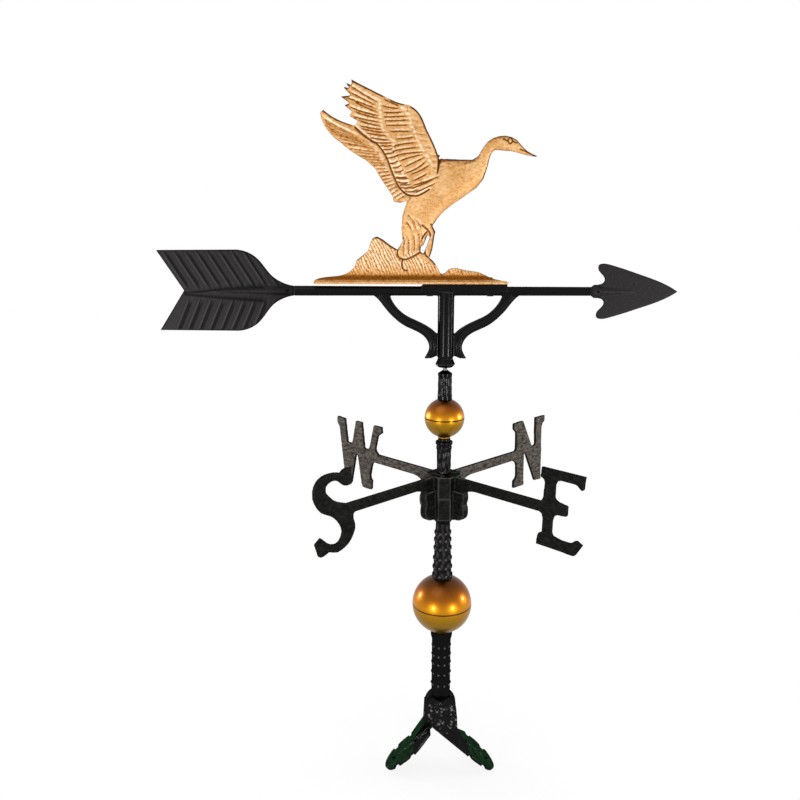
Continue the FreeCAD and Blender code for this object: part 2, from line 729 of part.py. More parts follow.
def directional(label, angle, letters, block_foot):
    """One bar of the cross-lap: half of the hub's height right across, with notches that let the
    other bar's full ends through, then its own two ends, their arms, brackets and letters."""
    body = new_body(label, HUB_FOOT, FreeCAD.Rotation(UP, angle))
    reach = size("hub_reach")
    half = size("bar_width") / 2
    block = new_sketch(body, "block", "XY_Plane", block_foot)
    trace(block, [
        (reach, -half), (reach, half), (half, reach), (half, half), (-half, half), (-half, reach),
        (-reach, half), (-reach, -half), (-half, -reach), (-half, -half), (half, -half),
        (half, -reach)])
    pad(body, block, size("hub_height") / 2)
    inner = half + size("lap_play")
    flank = half - size("lap_play")
    for side in (1, -1):
        end = new_sketch(body, "end", "XY_Plane")
        trace(end, turned_over(
            [(inner, -flank), (reach, -flank), (reach, flank), (inner, flank)], side))
        pad(body, end, size("hub_height"))
    for name, shares, side in letters:
        letter(body, name, shares, side)
    bore = new_sketch(body, "bore", "XY_Plane", -size("overrun"))
    circle(bore, ROD_BORE)
    pocket(body, bore, size("hub_height") + size("overrun") * 2, backwards=True)


directional("directional_ns", 45, [("n", LETTER_N_SHARES, 1), ("s", LETTER_S_SHARES, -1)], ZERO)
directional("directional_ew", -45, [("e", LETTER_E_SHARES, 1), ("w", LETTER_W_SHARES, -1)],
            size("hub_height") / 2)


# Upper spire: tube with a double ring under the small globe

def upper_spire():
    body = new_body("upper_spire", HUB_TOP)
    length = size("upper_spire_length")
    tube = size("upper_top_diameter") / 2
    neck = size("small_neck_diameter") / 2
    ring = size("ring_diameter") / 2
    small_ring = size("small_ring_diameter") / 2
    ring_top = length - size("ring_neck_height")
    ring_foot = ring_top - size("ring_height")
    small_top = ring_foot - size("ring_gap")
    small_foot = small_top - size("small_ring_height")
    bevel = (ring - neck) / 2
    turned(body, "tube", [
        (ROD_BORE, ZERO), (size("upper_bottom_diameter") / 2, ZERO), (tube, small_foot - (small_ring - tube)),
        (small_ring, small_foot), (small_ring, small_top), (tube, small_top + (small_ring - tube)),
        (tube, ring_foot), (ring, ring_foot + bevel / 2), (ring, ring_top - bevel / 2),
        (neck, ring_top), (neck, length), (ROD_BORE, length)])


upper_spire()


# Top spire and the coned nut that clamps the whole stack down

def top_spire():
    body = new_body("top_spire", SMALL_TOP)
    length = size("top_spire_length")
    turned(body, "tube", [
        (ROD_BORE, ZERO), (size("top_bottom_diameter") / 2, ZERO),
        (size("top_top_diameter") / 2, length), (ROD_BORE, length)])


def spindle_cap():
    body = new_body("spindle_cap", CAP_FOOT)
    band = size("cap_band_height")
    turned(body, "cap", [
        (SPINDLE, ZERO), (size("cap_diameter") / 2, ZERO), (size("cap_diameter") / 2, band),
        (size("cap_tip_diameter") / 2, CAP_TOP - CAP_FOOT), (SPINDLE, CAP_TOP - CAP_FOOT)])


top_spire()
spindle_cap()


# Arrow's centre casting: sleeve with a bell mouth, shaft, pad for the duck and two S braces.
# Own frame: origin where the shaft's axis crosses the mast's.

# Outer and inner edge of one brace, in shares of its span and its drop below the shaft's axis
BRACE_OUTER_SHARES = [
    (1.0, 0.04), (0.89, 0.135, CURVE), (0.8, 0.255, CURVE), (0.7, 0.365, CURVE),
    (0.57, 0.47, CURVE), (0.42, 0.545, CURVE), (0.3, 0.62, CURVE), (0.235, 0.715, CURVE),
    (0.222, 0.8, CURVE), (0.245, 0.87, CURVE), (0.285, 0.94),
]
BRACE_FOOT_SHARES = [(0.19, 0.935), (0.125, 0.905)]
BRACE_INNER_SHARES = [
    (0.105, 0.605), (0.155, 0.555), (0.265, 0.475, CURVE), (0.39, 0.41, CURVE),
    (0.545, 0.33, CURVE), (0.655, 0.23, CURVE), (0.75, 0.06),
]
RIDGE_SHARES = [
    (0.87, 0.06), (0.775, 0.19), (0.675, 0.3), (0.56, 0.4), (0.405, 0.478), (0.285, 0.545),
    (0.2, 0.64), (0.175, 0.74), (0.19, 0.84), (0.235, 0.92),
]


def ridge_band(shares, width):
    """Outline of an even band along a middle line given in shares of the brace."""
    span = size("brace_span")
    drop = size("brace_drop")
    sides = ([], [])
    for index, (across, down) in enumerate(shares):
        before = shares[max(index - 1, 0)]
        after = shares[min(index + 1, len(shares) - 1)]
        run = FreeCAD.Vector((after[0] - before[0]) * span.value, (before[1] - after[1]) * drop.value, 0)
        square = UP.cross(run).normalize()
        for side, points in zip((1, -1), sides):
            points.append((span * across + width * (square.x * side / 2),
                           width * (square.y * side / 2) - drop * down, CURVE))
    there, back = sides
    return [there[0][:2]] + there[1:-1] + [there[-1][:2], back[-1][:2]] + back[-2:0:-1] + [back[0][:2]]


def arrow_center():
    body = new_body("arrow_center", SHAFT_Z)
    drop = size("shaft_height")
    bore = SPINDLE + size("spindle_play")
    bush = size("bush_diameter") / 2
    sleeve = size("sleeve_diameter") / 2
    lip = size("bell_lip_diameter") / 2
    turned(body, "sleeve", [
        (ZERO, ZERO), (sleeve, ZERO), (sleeve, size("bell_height") * 1.3 - drop),
        (size("bell_neck_diameter") / 2, size("bell_height") - drop),
        (size("bell_diameter") / 2, size("bell_lip_height") - drop), (lip, -drop),
        (bush, -drop), (bush, size("bush_length") - drop), (bore, size("bush_length") - drop),
        (bore, size("bore_depth") - drop), (ZERO, size("bore_depth") - drop)])

    tail_radius = size("shaft_tail_diameter") / 2
    head_radius = size("shaft_head_diameter") / 2
    shaft = body.newObject("PartDesign::AdditiveCone", "arrow_center_shaft")
    length = size("tail_joint") + size("head_joint")
    bind(shaft, {"Radius1": tail_radius, "Radius2": head_radius, "Height": length})
    lay_along_x(shaft, -size("tail_joint"))
    for name, start, reach in (("tail_tenon", -size("tail_joint") - size("tenon_length"), 1),
                               ("head_tenon", size("head_joint"), 1)):
        tenon = body.newObject("PartDesign::AdditiveCylinder", "arrow_center_" + name)
        bind(tenon, {"Radius": size("tenon_diameter") / 2, "Height": size("tenon_length") * reach})
        lay_along_x(tenon, start)

    rest = new_sketch(body, "pad")
    slant = size("pad_height") - tail_radius
    trace(rest, [
        (-size("pad_tail_end"), ZERO), (size("pad_head_end"), ZERO),
        (size("pad_head_end"), size("pad_height")), (slant - size("pad_tail_end"), size("pad_height")),
        (-size("pad_tail_end"), tail_radius)])
    pad(body, rest, size("pad_width"), symmetric=True)

    span = size("brace_span")
    fall = size("brace_drop")
    for name, side in (("head", 1), ("tail", -1)):
        brace = new_sketch(body, "brace_" + name)
        inner = scaled(BRACE_INNER_SHARES, span, -fall)
        outer = scaled(BRACE_OUTER_SHARES + BRACE_FOOT_SHARES, span, -fall)
        root = [(sleeve / 2, outer[-1][1]), (sleeve / 2, inner[0][1])]
        trace(brace, turned_over(outer + root + inner, side))
        pad(body, brace, size("brace_thickness"), symmetric=True)

        ridge = new_sketch(body, "ridge_" + name)
        band = ridge_band(RIDGE_SHARES, size("brace_ridge_width"))
        trace(ridge, turned_over(band, side))
        pad(body, ridge, size("brace_thickness") + size("brace_ridge_height") * 2, symmetric=True)

    screws = new_sketch(body, "screw_holes", "XY_Plane", -tail_radius - size("overrun"))
    heads = new_sketch(body, "screw_seats", "XY_Plane", -tail_radius - size("overrun"))
    for place in (-size("ornament_screw_back"), size("ornament_screw_front")):
        circle(screws, size("ornament_screw_diameter") / 2, place)
        circle(heads, size("ornament_head_diameter") / 2, place)
    pocket(body, screws, (size("pad_height") + tail_radius) * 2, backwards=True)
    pocket(body, heads, size("ornament_head_height") + size("overrun"), backwards=True)

    for name, place in (("tail", -size("tail_joint") - size("pin_offset")),
                        ("head", size("head_joint") + size("pin_offset"))):
        pin = new_sketch(body, "pin_hole_" + name, "XZ_Plane")
        circle(pin, size("pin_diameter") / 2, place)
        pocket(body, pin, size("tenon_diameter") + size("overrun"), symmetric=True)


def bind(feature, sizes):
    """Bind a primitive's properties to sizes."""
    for name, target in sizes.items():
        setattr(feature, name, target.value)
        feature.setExpression(name, target.text)


def lay_along_x(feature, start):
    """Turn a primitive's axis along the arrow, with its foot at this place."""
    turn = FreeCAD.Rotation(ALONG_RIDGE, 90)
    feature.AttachmentOffset = FreeCAD.Placement(FreeCAD.Vector(start.value, 0, 0), turn)
    feature.Placement = FreeCAD.Placement(FreeCAD.Vector(start.value, 0, 0), turn)
    feature.setExpression("Placement.Base.x", start.text)


arrow_center()


# Arrow's tail: fletched plate on a tapered spine, with a socket for the shaft's tenon

TAIL_SHARES = [
    (0.0, 0.12), (0.035, 0.14, CURVE), (0.095, 0.215, CURVE), (0.15, 0.33, CURVE),
    (0.19, 0.47, CURVE), (0.235, 0.67, CURVE), (0.285, 0.84, CURVE), (0.35, 0.955, CURVE),
    (0.42, 1.0), (1.0, 0.985), (0.81, 0.0),
]


def arrow_tail():
    body = new_body("arrow_tail", SHAFT_Z)
    joint = size("tail_joint")
    length = size("tail_length")
    half = size("tail_width") / 2
    plate = new_sketch(body, "plate")
    upper = [(-joint - length * across, half * up) + tuple(rest) for across, up, *rest in TAIL_SHARES]
    lower = [(point[0], -point[1]) + tuple(point[2:]) for point in reversed(upper[:-1])]
    trace(plate, upper + lower)
    pad(body, plate, size("tail_thickness"), symmetric=True)

    spine = body.newObject("PartDesign::AdditiveCone", "arrow_tail_spine")
    run = length * TAIL_SHARES[-1][0]
    bind(spine, {"Radius1": size("tail_spine_end_diameter") / 2,
                 "Radius2": size("shaft_tail_diameter") / 2, "Height": run})
    lay_along_x(spine, -joint - run)

    socket = new_sketch(body, "socket", "YZ_Plane", -joint)
    circle(socket, size("tenon_diameter") / 2)
    pocket(body, socket, size("tenon_length") + size("tenon_end_room"))
    cross_pin(body, -joint - size("pin_offset"), size("shaft_tail_diameter"))


def cross_pin(body, place, width):
    """Hole for the pin that holds a piece on its tenon."""
    pin = new_sketch(body, "pin_hole", "XZ_Plane")
    circle(pin, size("pin_diameter") / 2, place)
    pocket(body, pin, width * 2, symmetric=True)


arrow_tail()


# Arrow's point: barbed plate with a round ferrule and a ridge that runs out at the tip

HEAD_SHARES = [
    (0.09, 0.26), (0.135, 0.3, CURVE), (0.155, 0.4, CURVE), (0.135, 0.56, CURVE),
    (0.075, 0.8, CURVE), (0.08, 0.95, CURVE), (0.13, 1.0, CURVE), (0.22, 0.95, CURVE),
    (0.36, 0.82, CURVE), (0.55, 0.62, CURVE), (0.76, 0.39, CURVE), (1.0, 0.0),
]


def arrow_head():
    body = new_body("arrow_head", SHAFT_Z)
    joint = size("head_joint")
    length = size("head_length")
    half = size("head_width") / 2
    plate = new_sketch(body, "plate")
    upper = [(joint + length * across, half * up) + tuple(rest) for across, up, *rest in HEAD_SHARES]
    lower = [(point[0], -point[1]) + tuple(point[2:]) for point in reversed(upper[:-1])]
    trace(plate, upper + lower)
    pad(body, plate, size("head_thickness"), symmetric=True)

    ferrule = size("ferrule_diameter") / 2
    neck = size("shaft_head_diameter") / 2
    ridge = size("head_ridge_diameter") / 2
    run = size("ferrule_length")
    turn = new_sketch(body, "ferrule")
    trace(turn, [
        (joint, ZERO), (joint, neck), (joint + run * 0.35, ferrule), (joint + run * 0.8, ferrule),
        (joint + run * 1.4, neck), (joint + length * 0.18, ridge), (joint + length, ZERO)])
    feature = body.newObject("PartDesign::Revolution", "arrow_head_turned")
    feature.Profile = turn
    feature.ReferenceAxis = (turn, ["H_Axis"])
    feature.Angle = 360.0

    socket = new_sketch(body, "socket", "YZ_Plane", joint)
    circle(socket, size("tenon_diameter") / 2)
    pocket(body, socket, size("tenon_length") + size("tenon_end_room"), backwards=True)
    cross_pin(body, joint + size("pin_offset"), size("ferrule_diameter"))


arrow_head()


# Small round pieces of the vane

def round_piece(label, lift, points):
    """A turned piece on the mast's axis."""
    turned(new_body(label, lift), "profile", points)


BUSH_BORE = SPINDLE + size("spindle_play")
round_piece("sleeve_bush", BELL_FOOT, [
    (BUSH_BORE, ZERO), (size("bush_diameter") / 2, ZERO),
    (size("bush_diameter") / 2, size("bush_length")), (BUSH_BORE, size("bush_length"))])
round_piece("thrust_ball", BALL_CENTRE, [(ZERO, -BALL, -BALL), (BALL, ZERO, -BALL), (ZERO, BALL)])


def group(label, pieces):
    """Several separate solids of one kind kept together as one node."""
    node = doc.addObject("Part::Compound", label)
    node.Label = label
    node.Links = pieces
    return node


def arrow_pins():
    """Cross pins through the tail's neck and the point's ferrule."""
    pins = []
    for name, place, length in (
            ("tail", -size("tail_joint") - size("pin_offset"), size("shaft_tail_diameter")),
            ("head", size("head_joint") + size("pin_offset"), size("ferrule_diameter"))):
        pin = doc.addObject("Part::Cylinder", "arrow_pin_" + name)
        bind(pin, {"Radius": size("pin_diameter") / 2, "Height": length})
        pin.Placement = FreeCAD.Placement(
            FreeCAD.Vector(place.value, -length.value / 2, SHAFT_Z.value),
            FreeCAD.Rotation(FreeCAD.Vector(1, 0, 0), -90))
        pin.setExpression("Placement.Base.x", place.text)
        pin.setExpression("Placement.Base.y", (-length / 2).text)
        pin.setExpression("Placement.Base.z", SHAFT_Z.text)
        pins.append(pin)
    return group("arrow_pins", pins)


def ornament_screws():
    """Screws from the shaft's underside up into the mound."""
    screws = []
    foot = SHAFT_Z - size("shaft_tail_diameter") / 2
    shank_foot = foot + size("ornament_head_height")
    rise = PAD_TOP + size("ornament_screw_depth") - shank_foot
    for name, place in (("back", -size("ornament_screw_back")), ("front", size("ornament_screw_front"))):
        screw = new_body("ornament_screw_" + name, foot)
        screw.Placement.Base.x = place.value
        screw.setExpression("Placement.Base.x", place.text)
        shank = size("ornament_screw_diameter") / 2
        head = size("ornament_head_diameter") / 2
        head_top = size("ornament_head_height")
        turned(screw, "profile", [
            (ZERO, ZERO), (head, ZERO), (head, head_top), (shank, head_top),
            (shank, head_top + rise), (ZERO, head_top + rise)])
        screws.append(screw)
    return group("ornament_screws", screws)


arrow_pins()
ornament_screws()


# Duck: relief casting of a duck that takes off from a grass mound. Outlines are in shares of its
# length, from the mound's tail end, and of its height, from the mound's foot.

MOUND_SHARES = [
    (0.0, 0.0), (0.885, 0.0), (0.885, 0.008), (0.845, 0.02), (0.79, 0.04, CURVE),
    (0.755, 0.058, CURVE), (0.69, 0.07, CURVE), (0.63, 0.08, CURVE), (0.6, 0.055), (0.58, 0.05),
    (0.565, 0.08, CURVE), (0.54, 0.12, CURVE), (0.515, 0.14, CURVE), (0.48, 0.17),
    (0.38, 0.175), (0.35, 0.195), (0.315, 0.225), (0.29, 0.24), (0.265, 0.225, CURVE),
    (0.255, 0.195, CURVE), (0.24, 0.16), (0.195, 0.12), (0.18, 0.08, CURVE), (0.145, 0.05, CURVE),
    (0.085, 0.036, CURVE), (0.0, 0.016),
]
NEAR_WING_SHARES = [
    (0.55, 0.665), (0.53, 0.715, CURVE), (0.505, 0.77, CURVE), (0.488, 0.815, CURVE),
    (0.47, 0.845, CURVE), (0.45, 0.865, CURVE), (0.42, 0.88, CURVE), (0.4, 0.885),
    (0.36, 0.9, CURVE), (0.315, 0.925, CURVE), (0.25, 0.96, CURVE), (0.18, 1.0),
    (0.182, 0.972), (0.155, 0.985), (0.175, 0.958), (0.145, 0.965), (0.18, 0.925),
    (0.135, 0.92), (0.175, 0.888), (0.15, 0.88), (0.182, 0.85), (0.17, 0.83), (0.21, 0.805),
    (0.19, 0.78), (0.245, 0.735, CURVE), (0.28, 0.7, CURVE), (0.31, 0.66, CURVE),
    (0.33, 0.615, CURVE), (0.35, 0.565, CURVE), (0.365, 0.525, CURVE), (0.39, 0.48, CURVE),
    (0.42, 0.452, CURVE), (0.45, 0.442, CURVE), (0.5, 0.46), (0.56, 0.56, CURVE),
]
FAR_WING_SHARES = [
    (0.57, 0.62), (0.5, 0.7, CURVE), (0.4, 0.745, CURVE), (0.29, 0.765, CURVE), (0.19, 0.785, CURVE),
    (0.135, 0.805, CURVE), (0.09, 0.83, CURVE), (0.055, 0.86), (0.04, 0.845), (0.05, 0.805, CURVE),
    (0.085, 0.745, CURVE), (0.125, 0.708), (0.16, 0.675), (0.2, 0.645), (0.24, 0.62), (0.28, 0.58),
    (0.3, 0.54), (0.33, 0.49), (0.355, 0.45), (0.365, 0.415), (0.395, 0.41), (0.42, 0.42),
    (0.52, 0.48),
]
# Inner edge of each raised row of covert feathers on a wing, from its leading edge to its trailing one
COVERT_EDGE_SHARES = [
    [(0.33, 0.915), (0.34, 0.86, CURVE), (0.33, 0.79, CURVE), (0.36, 0.72, CURVE),
     (0.38, 0.65, CURVE), (0.41, 0.56, CURVE), (0.45, 0.48)],
    [(0.42, 0.878), (0.43, 0.83, CURVE), (0.445, 0.77, CURVE), (0.465, 0.7, CURVE),
     (0.485, 0.64, CURVE), (0.5, 0.58, CURVE), (0.52, 0.53)],
]
FAR_COVERT_EDGE_SHARES = [
    (0.17, 0.82), (0.22, 0.75, CURVE), (0.29, 0.68, CURVE), (0.34, 0.61, CURVE),
    (0.375, 0.54, CURVE), (0.4, 0.47, CURVE), (0.42, 0.4),
]
TAIL_FAN_SHARES = [
    (0.445, 0.43), (0.41, 0.36, CURVE), (0.4, 0.3, CURVE), (0.4, 0.25), (0.405, 0.22), (0.385, 0.18),
    (0.38, 0.155), (0.395, 0.13), (0.41, 0.12), (0.45, 0.14), (0.485, 0.165), (0.49, 0.2, CURVE),
    (0.515, 0.245), (0.55, 0.32),
]
LEG_SHARES = [
    (0.5, 0.3), (0.53, 0.31), (0.552, 0.265), (0.545, 0.225, CURVE), (0.538, 0.175, CURVE),
    (0.52, 0.125), (0.49, 0.13), (0.512, 0.19, CURVE), (0.527, 0.235), (0.52, 0.26),
]
# Cross sections along the body: middle of the section across and up, half width, share of the
# body's thickness, and the way the section faces in degrees above +X. Half widths are shares of
# the duck's height.
BODY_SECTION_SHARES = [
    (0.455, 0.2, 0.05, 0.3, 82),
    (0.465, 0.3, 0.078, 0.62, 75),
    (0.505, 0.4, 0.094, 0.88, 58),
    (0.57, 0.475, 0.1, 1.0, 45),
    (0.64, 0.53, 0.1, 1.0, 38),
    (0.705, 0.565, 0.08, 0.86, 42),
    (0.752, 0.61, 0.038, 0.6, 66),
    (0.77, 0.65, 0.027, 0.48, 64),
    (0.79, 0.685, 0.027, 0.46, 45),
    (0.822, 0.7, 0.034, 0.52, 18),
    (0.86, 0.702, 0.037, 0.54, -5),
    (0.895, 0.692, 0.031, 0.46, -22),
    (0.925, 0.671, 0.019, 0.32, -28),
    (0.96, 0.651, 0.009, 0.22, -20),
    (0.998, 0.639, 0.003, 0.1, -14),
]


# The body's surface is drawn through this many stations, with this many points round each
BODY_STATIONS = 25
OVAL_POINTS = 12
# Cover for the shoulder's side of a covert row's edge
SHOULDER_SIDE_SHARES = [(0.75, 0.3), (0.75, 1.0)]


def place(point):
    """A point of the duck's outline in its own frame."""
    return FreeCAD.Vector(value("duck_length") * point[0], 0, value("duck_height") * point[1])


def value(name):
    """A driving size read back from the sheet."""
    return float(sheet.get(name))


def outline_wire(points):
    """Closed wire through an outline, with one smooth curve through each run of curve points."""
    corners = [index for index, point in enumerate(points) if CURVE not in point[2:]]
    edges = []
    for order, index in enumerate(corners):
        following = corners[(order + 1) % len(corners)]
        count = (following - index) % len(points)
        stretch = [place(points[(index + step) % len(points)]) for step in range(count + 1)]
        if count > 1:
            curve = Part.BSplineCurve()
            curve.interpolate(Points=stretch)
            edges.append(curve.toShape())
        else:
            edges.append(Part.makeLine(stretch[0], stretch[-1]))
    return Part.Wire(edges)


def plate(points, front, back):
    """Flat plate with this outline between two depths along Y."""
    face = Part.Face(outline_wire(points))
    face.translate(FreeCAD.Vector(0, front, 0))
    return face.extrude(FreeCAD.Vector(0, back - front, 0))


def raised_row(wing, edge, front, back):
    """The part of a wing between a covert row's edge and the shoulder."""
    return plate(wing, front, back).common(plate(edge + SHOULDER_SIDE_SHARES, front, back))


def smooth_step(share, before, start, end, after):
    """A value on the smooth curve that runs through start and end."""
    lead = (end - before) / 2
    trail = (after - start) / 2
    square = share * share
    cube = square * share
    return ((2 * cube - 3 * square + 1) * start + (cube - 2 * square + share) * lead
            + (3 * square - 2 * cube) * end + (cube - square) * trail)


def body_stations():
    """Stations along the body, smoothly spread between the given cross sections."""
    given = BODY_SECTION_SHARES
    last = len(given) - 1
    for number in range(BODY_STATIONS):
        way = last * number / (BODY_STATIONS - 1)
        index = min(int(way), last - 1)
        around = [given[max(index - 1, 0)], given[index], given[index + 1],
                  given[min(index + 2, last)]]
        yield [smooth_step(way - index, *column) for column in zip(*around)]


def body_section(station):
    """Oval section of the body, square to the way that the body runs there."""
    across, up, half_share, thick_share, heading = station
    half = half_share * value("duck_height")
    thick = thick_share * value("body_thickness") / 2
    angle = math.radians(heading)
    sideways = FreeCAD.Vector(-math.sin(angle), 0, math.cos(angle))
    points = []
    for step in range(OVAL_POINTS):
        turn = math.tau * step / OVAL_POINTS
        points.append(place((across, up)) + sideways * (half * math.cos(turn))
                      + FreeCAD.Vector(0, thick * math.sin(turn), 0))
    return Part.makePolygon(points + points[:1])


def duck_ornament():
    """All of the duck's casting joined: mound, body, wings, tail and leg."""
    half_mound = value("mound_thickness") / 2
    half_flange = value("foot_flange_width") / 2
    half_leg = value("leg_thickness") / 2
    inner = value("wing_offset")
    outer = inner + value("wing_thickness")
    step = value("covert_step")
    pieces = [
        plate(MOUND_SHARES, -half_mound, half_mound),
        Part.makeBox(value("duck_length") * MOUND_SHARES[1][0], half_flange * 2,
                     value("foot_flange_height"), FreeCAD.Vector(0, -half_flange, 0)),
        Part.makeLoft([body_section(station) for station in body_stations()], True, True),
        plate(NEAR_WING_SHARES, -outer, inner),
        raised_row(NEAR_WING_SHARES, COVERT_EDGE_SHARES[0], -outer - step, inner),
        raised_row(NEAR_WING_SHARES, COVERT_EDGE_SHARES[1], -outer - step * 2, inner),
        plate(FAR_WING_SHARES, -inner, outer),
        raised_row(FAR_WING_SHARES, FAR_COVERT_EDGE_SHARES, -inner, outer + step),
        plate(TAIL_FAN_SHARES, -half_leg, half_leg),
        plate(LEG_SHARES, -half_leg, half_leg),
    ]
    solid = pieces[0].fuse(pieces[1:]).removeSplitter()
    for across in (-value("ornament_screw_back"), value("ornament_screw_front")):
        solid = solid.cut(Part.makeCylinder(
            value("ornament_screw_diameter") / 2, value("ornament_screw_depth"),
            FreeCAD.Vector(value("duck_left") + across, 0, 0)))
    if len(solid.Solids) != 1:
        raise RuntimeError("the duck isn't one piece")
    node = doc.addObject("Part::Feature", "duck_ornament")
    node.Label = "duck_ornament"
    node.Shape = solid.Solids[0]
    node.Placement = FreeCAD.Placement(
        FreeCAD.Vector(-value("duck_left"), 0, PAD_TOP.value), FreeCAD.Rotation())


duck_ornament()


# Check every object and write one STEP file for each piece

NODES = [
    "left_foot", "right_foot", "pivot_bolt", "base_spire", "mast_rod",
    "large_globe_lower", "large_globe_upper", "middle_spire", "directional_ns", "directional_ew",
    "upper_spire", "small_globe_lower", "small_globe_upper", "top_spire", "spindle_cap",
    "arrow_center", "arrow_tail", "arrow_head", "arrow_pins", "sleeve_bush", "thrust_ball",
    "duck_ornament", "ornament_screws",
]

doc.recompute()
failed = [item.Name for item in doc.Objects if "Invalid" in item.State or "Error" in item.State]
if failed:
    raise RuntimeError("failed objects: " + ", ".join(failed))

os.makedirs("parts", exist_ok=True)
for label in NODES:
    node = doc.getObjectsByLabel(label)[0]
    if node.Shape.isNull() or not node.Shape.isValid():
        raise RuntimeError("bad shape: " + label)
    node.Shape.exportStep("parts/" + label + ".step")
    print(label, len(node.Shape.Solids), "solids", round(node.Shape.Volume), "mm3")
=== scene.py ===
"""Duck weathervane on a hinged ridge mount: the visual model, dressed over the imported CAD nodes."""
import json
import math

import bmesh
import bpy
import numpy as np
from mathutils import Matrix, Vector


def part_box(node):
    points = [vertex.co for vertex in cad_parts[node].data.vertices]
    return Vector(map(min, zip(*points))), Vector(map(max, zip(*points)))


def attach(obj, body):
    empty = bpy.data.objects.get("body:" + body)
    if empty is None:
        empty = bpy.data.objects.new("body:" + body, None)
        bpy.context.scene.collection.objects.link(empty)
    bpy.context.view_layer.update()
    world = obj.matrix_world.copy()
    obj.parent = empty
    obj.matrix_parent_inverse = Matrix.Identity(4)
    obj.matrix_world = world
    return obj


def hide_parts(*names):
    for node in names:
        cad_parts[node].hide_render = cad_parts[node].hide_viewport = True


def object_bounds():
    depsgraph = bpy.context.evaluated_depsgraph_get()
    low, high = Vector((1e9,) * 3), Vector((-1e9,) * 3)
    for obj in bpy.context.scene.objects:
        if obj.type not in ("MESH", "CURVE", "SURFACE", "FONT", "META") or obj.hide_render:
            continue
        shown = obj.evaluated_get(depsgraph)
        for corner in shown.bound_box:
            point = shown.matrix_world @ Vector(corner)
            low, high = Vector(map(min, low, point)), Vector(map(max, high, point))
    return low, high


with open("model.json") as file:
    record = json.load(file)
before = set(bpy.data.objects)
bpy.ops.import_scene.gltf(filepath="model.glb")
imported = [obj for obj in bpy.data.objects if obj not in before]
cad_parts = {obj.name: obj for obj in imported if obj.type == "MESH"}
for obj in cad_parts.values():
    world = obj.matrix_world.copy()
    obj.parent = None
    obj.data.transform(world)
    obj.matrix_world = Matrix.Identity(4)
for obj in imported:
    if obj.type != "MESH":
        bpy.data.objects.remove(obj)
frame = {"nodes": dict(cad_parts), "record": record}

CAD_LOW, CAD_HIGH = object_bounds()
MM = 0.001
# Corners of a copied mesh that lie this near to each other, in millimetres, become one
WELD = 0.002
# Width of the orange peel on powder coat, in millimetres: twice as coarse as life, so that it shows
PEEL = 2.38
BODY_OF = {node: body for body, nodes in frame["record"]["behaviour"]["bodies"].items() for node in nodes}


# Colours and shader nodes

def linear(hex_colour):
    """An sRGB hex colour as linear red, green and blue, with an alpha of one."""
    parts = [int(hex_colour[i:i + 2], 16) / 255 for i in (1, 3, 5)]
    return [p / 12.92 if p <= 0.04045 else ((p + 0.055) / 1.055) ** 2.4 for p in parts] + [1.0]


def wire(tree, kind, values=None, links=None, **options):
    """Adds one shader node.

    Values fill its sockets, links join other nodes' outputs to them, and options set the rest.
    """
    node = tree.nodes.new(kind)
    for name, value in options.items():
        setattr(node, name, value)
    for socket, value in (values or {}).items():
        node.inputs[socket].default_value = value
    for socket, source in (links or {}).items():
        tree.links.new(source, node.inputs[socket])
    return node


def finish(name):
    """A new material with its empty node tree and its output node."""
    material = bpy.data.materials.new(name)
    material.use_nodes = True
    tree = material.node_tree
    tree.nodes.clear()
    return material, tree, tree.nodes.new("ShaderNodeOutputMaterial")


def stops(ramp, *pairs):
    """Sets a colour ramp's stops from pairs of place and hex colour."""
    elements = ramp.color_ramp.elements
    while len(elements) < len(pairs):
        elements.new(0.5)
    for element, (place, colour) in zip(elements, pairs):
        element.position = place
        element.color = linear(colour)
    return ramp


def cells(width):
    """The scale at which a texture's cells are this many millimetres wide."""
    return 1 / (width * MM)


def lacquer(tree, colour, bump, shine, roughness):
    """A coat of paint: its colour as matt light under a small share of gloss.

    The share is the same at every angle, so that the white surround never veils a black piece's rim.
    """
    matt = wire(tree, "ShaderNodeBsdfDiffuse", links={"Color": colour, "Normal": bump})
    gloss = wire(tree, "ShaderNodeBsdfGlossy", {"Color": linear("#ffffff"), "Roughness": roughness},
                 {"Normal": bump})
    return wire(tree, "ShaderNodeMixShader", {0: shine}, {1: matt.outputs[0], 2: gloss.outputs[0]}).outputs[0]


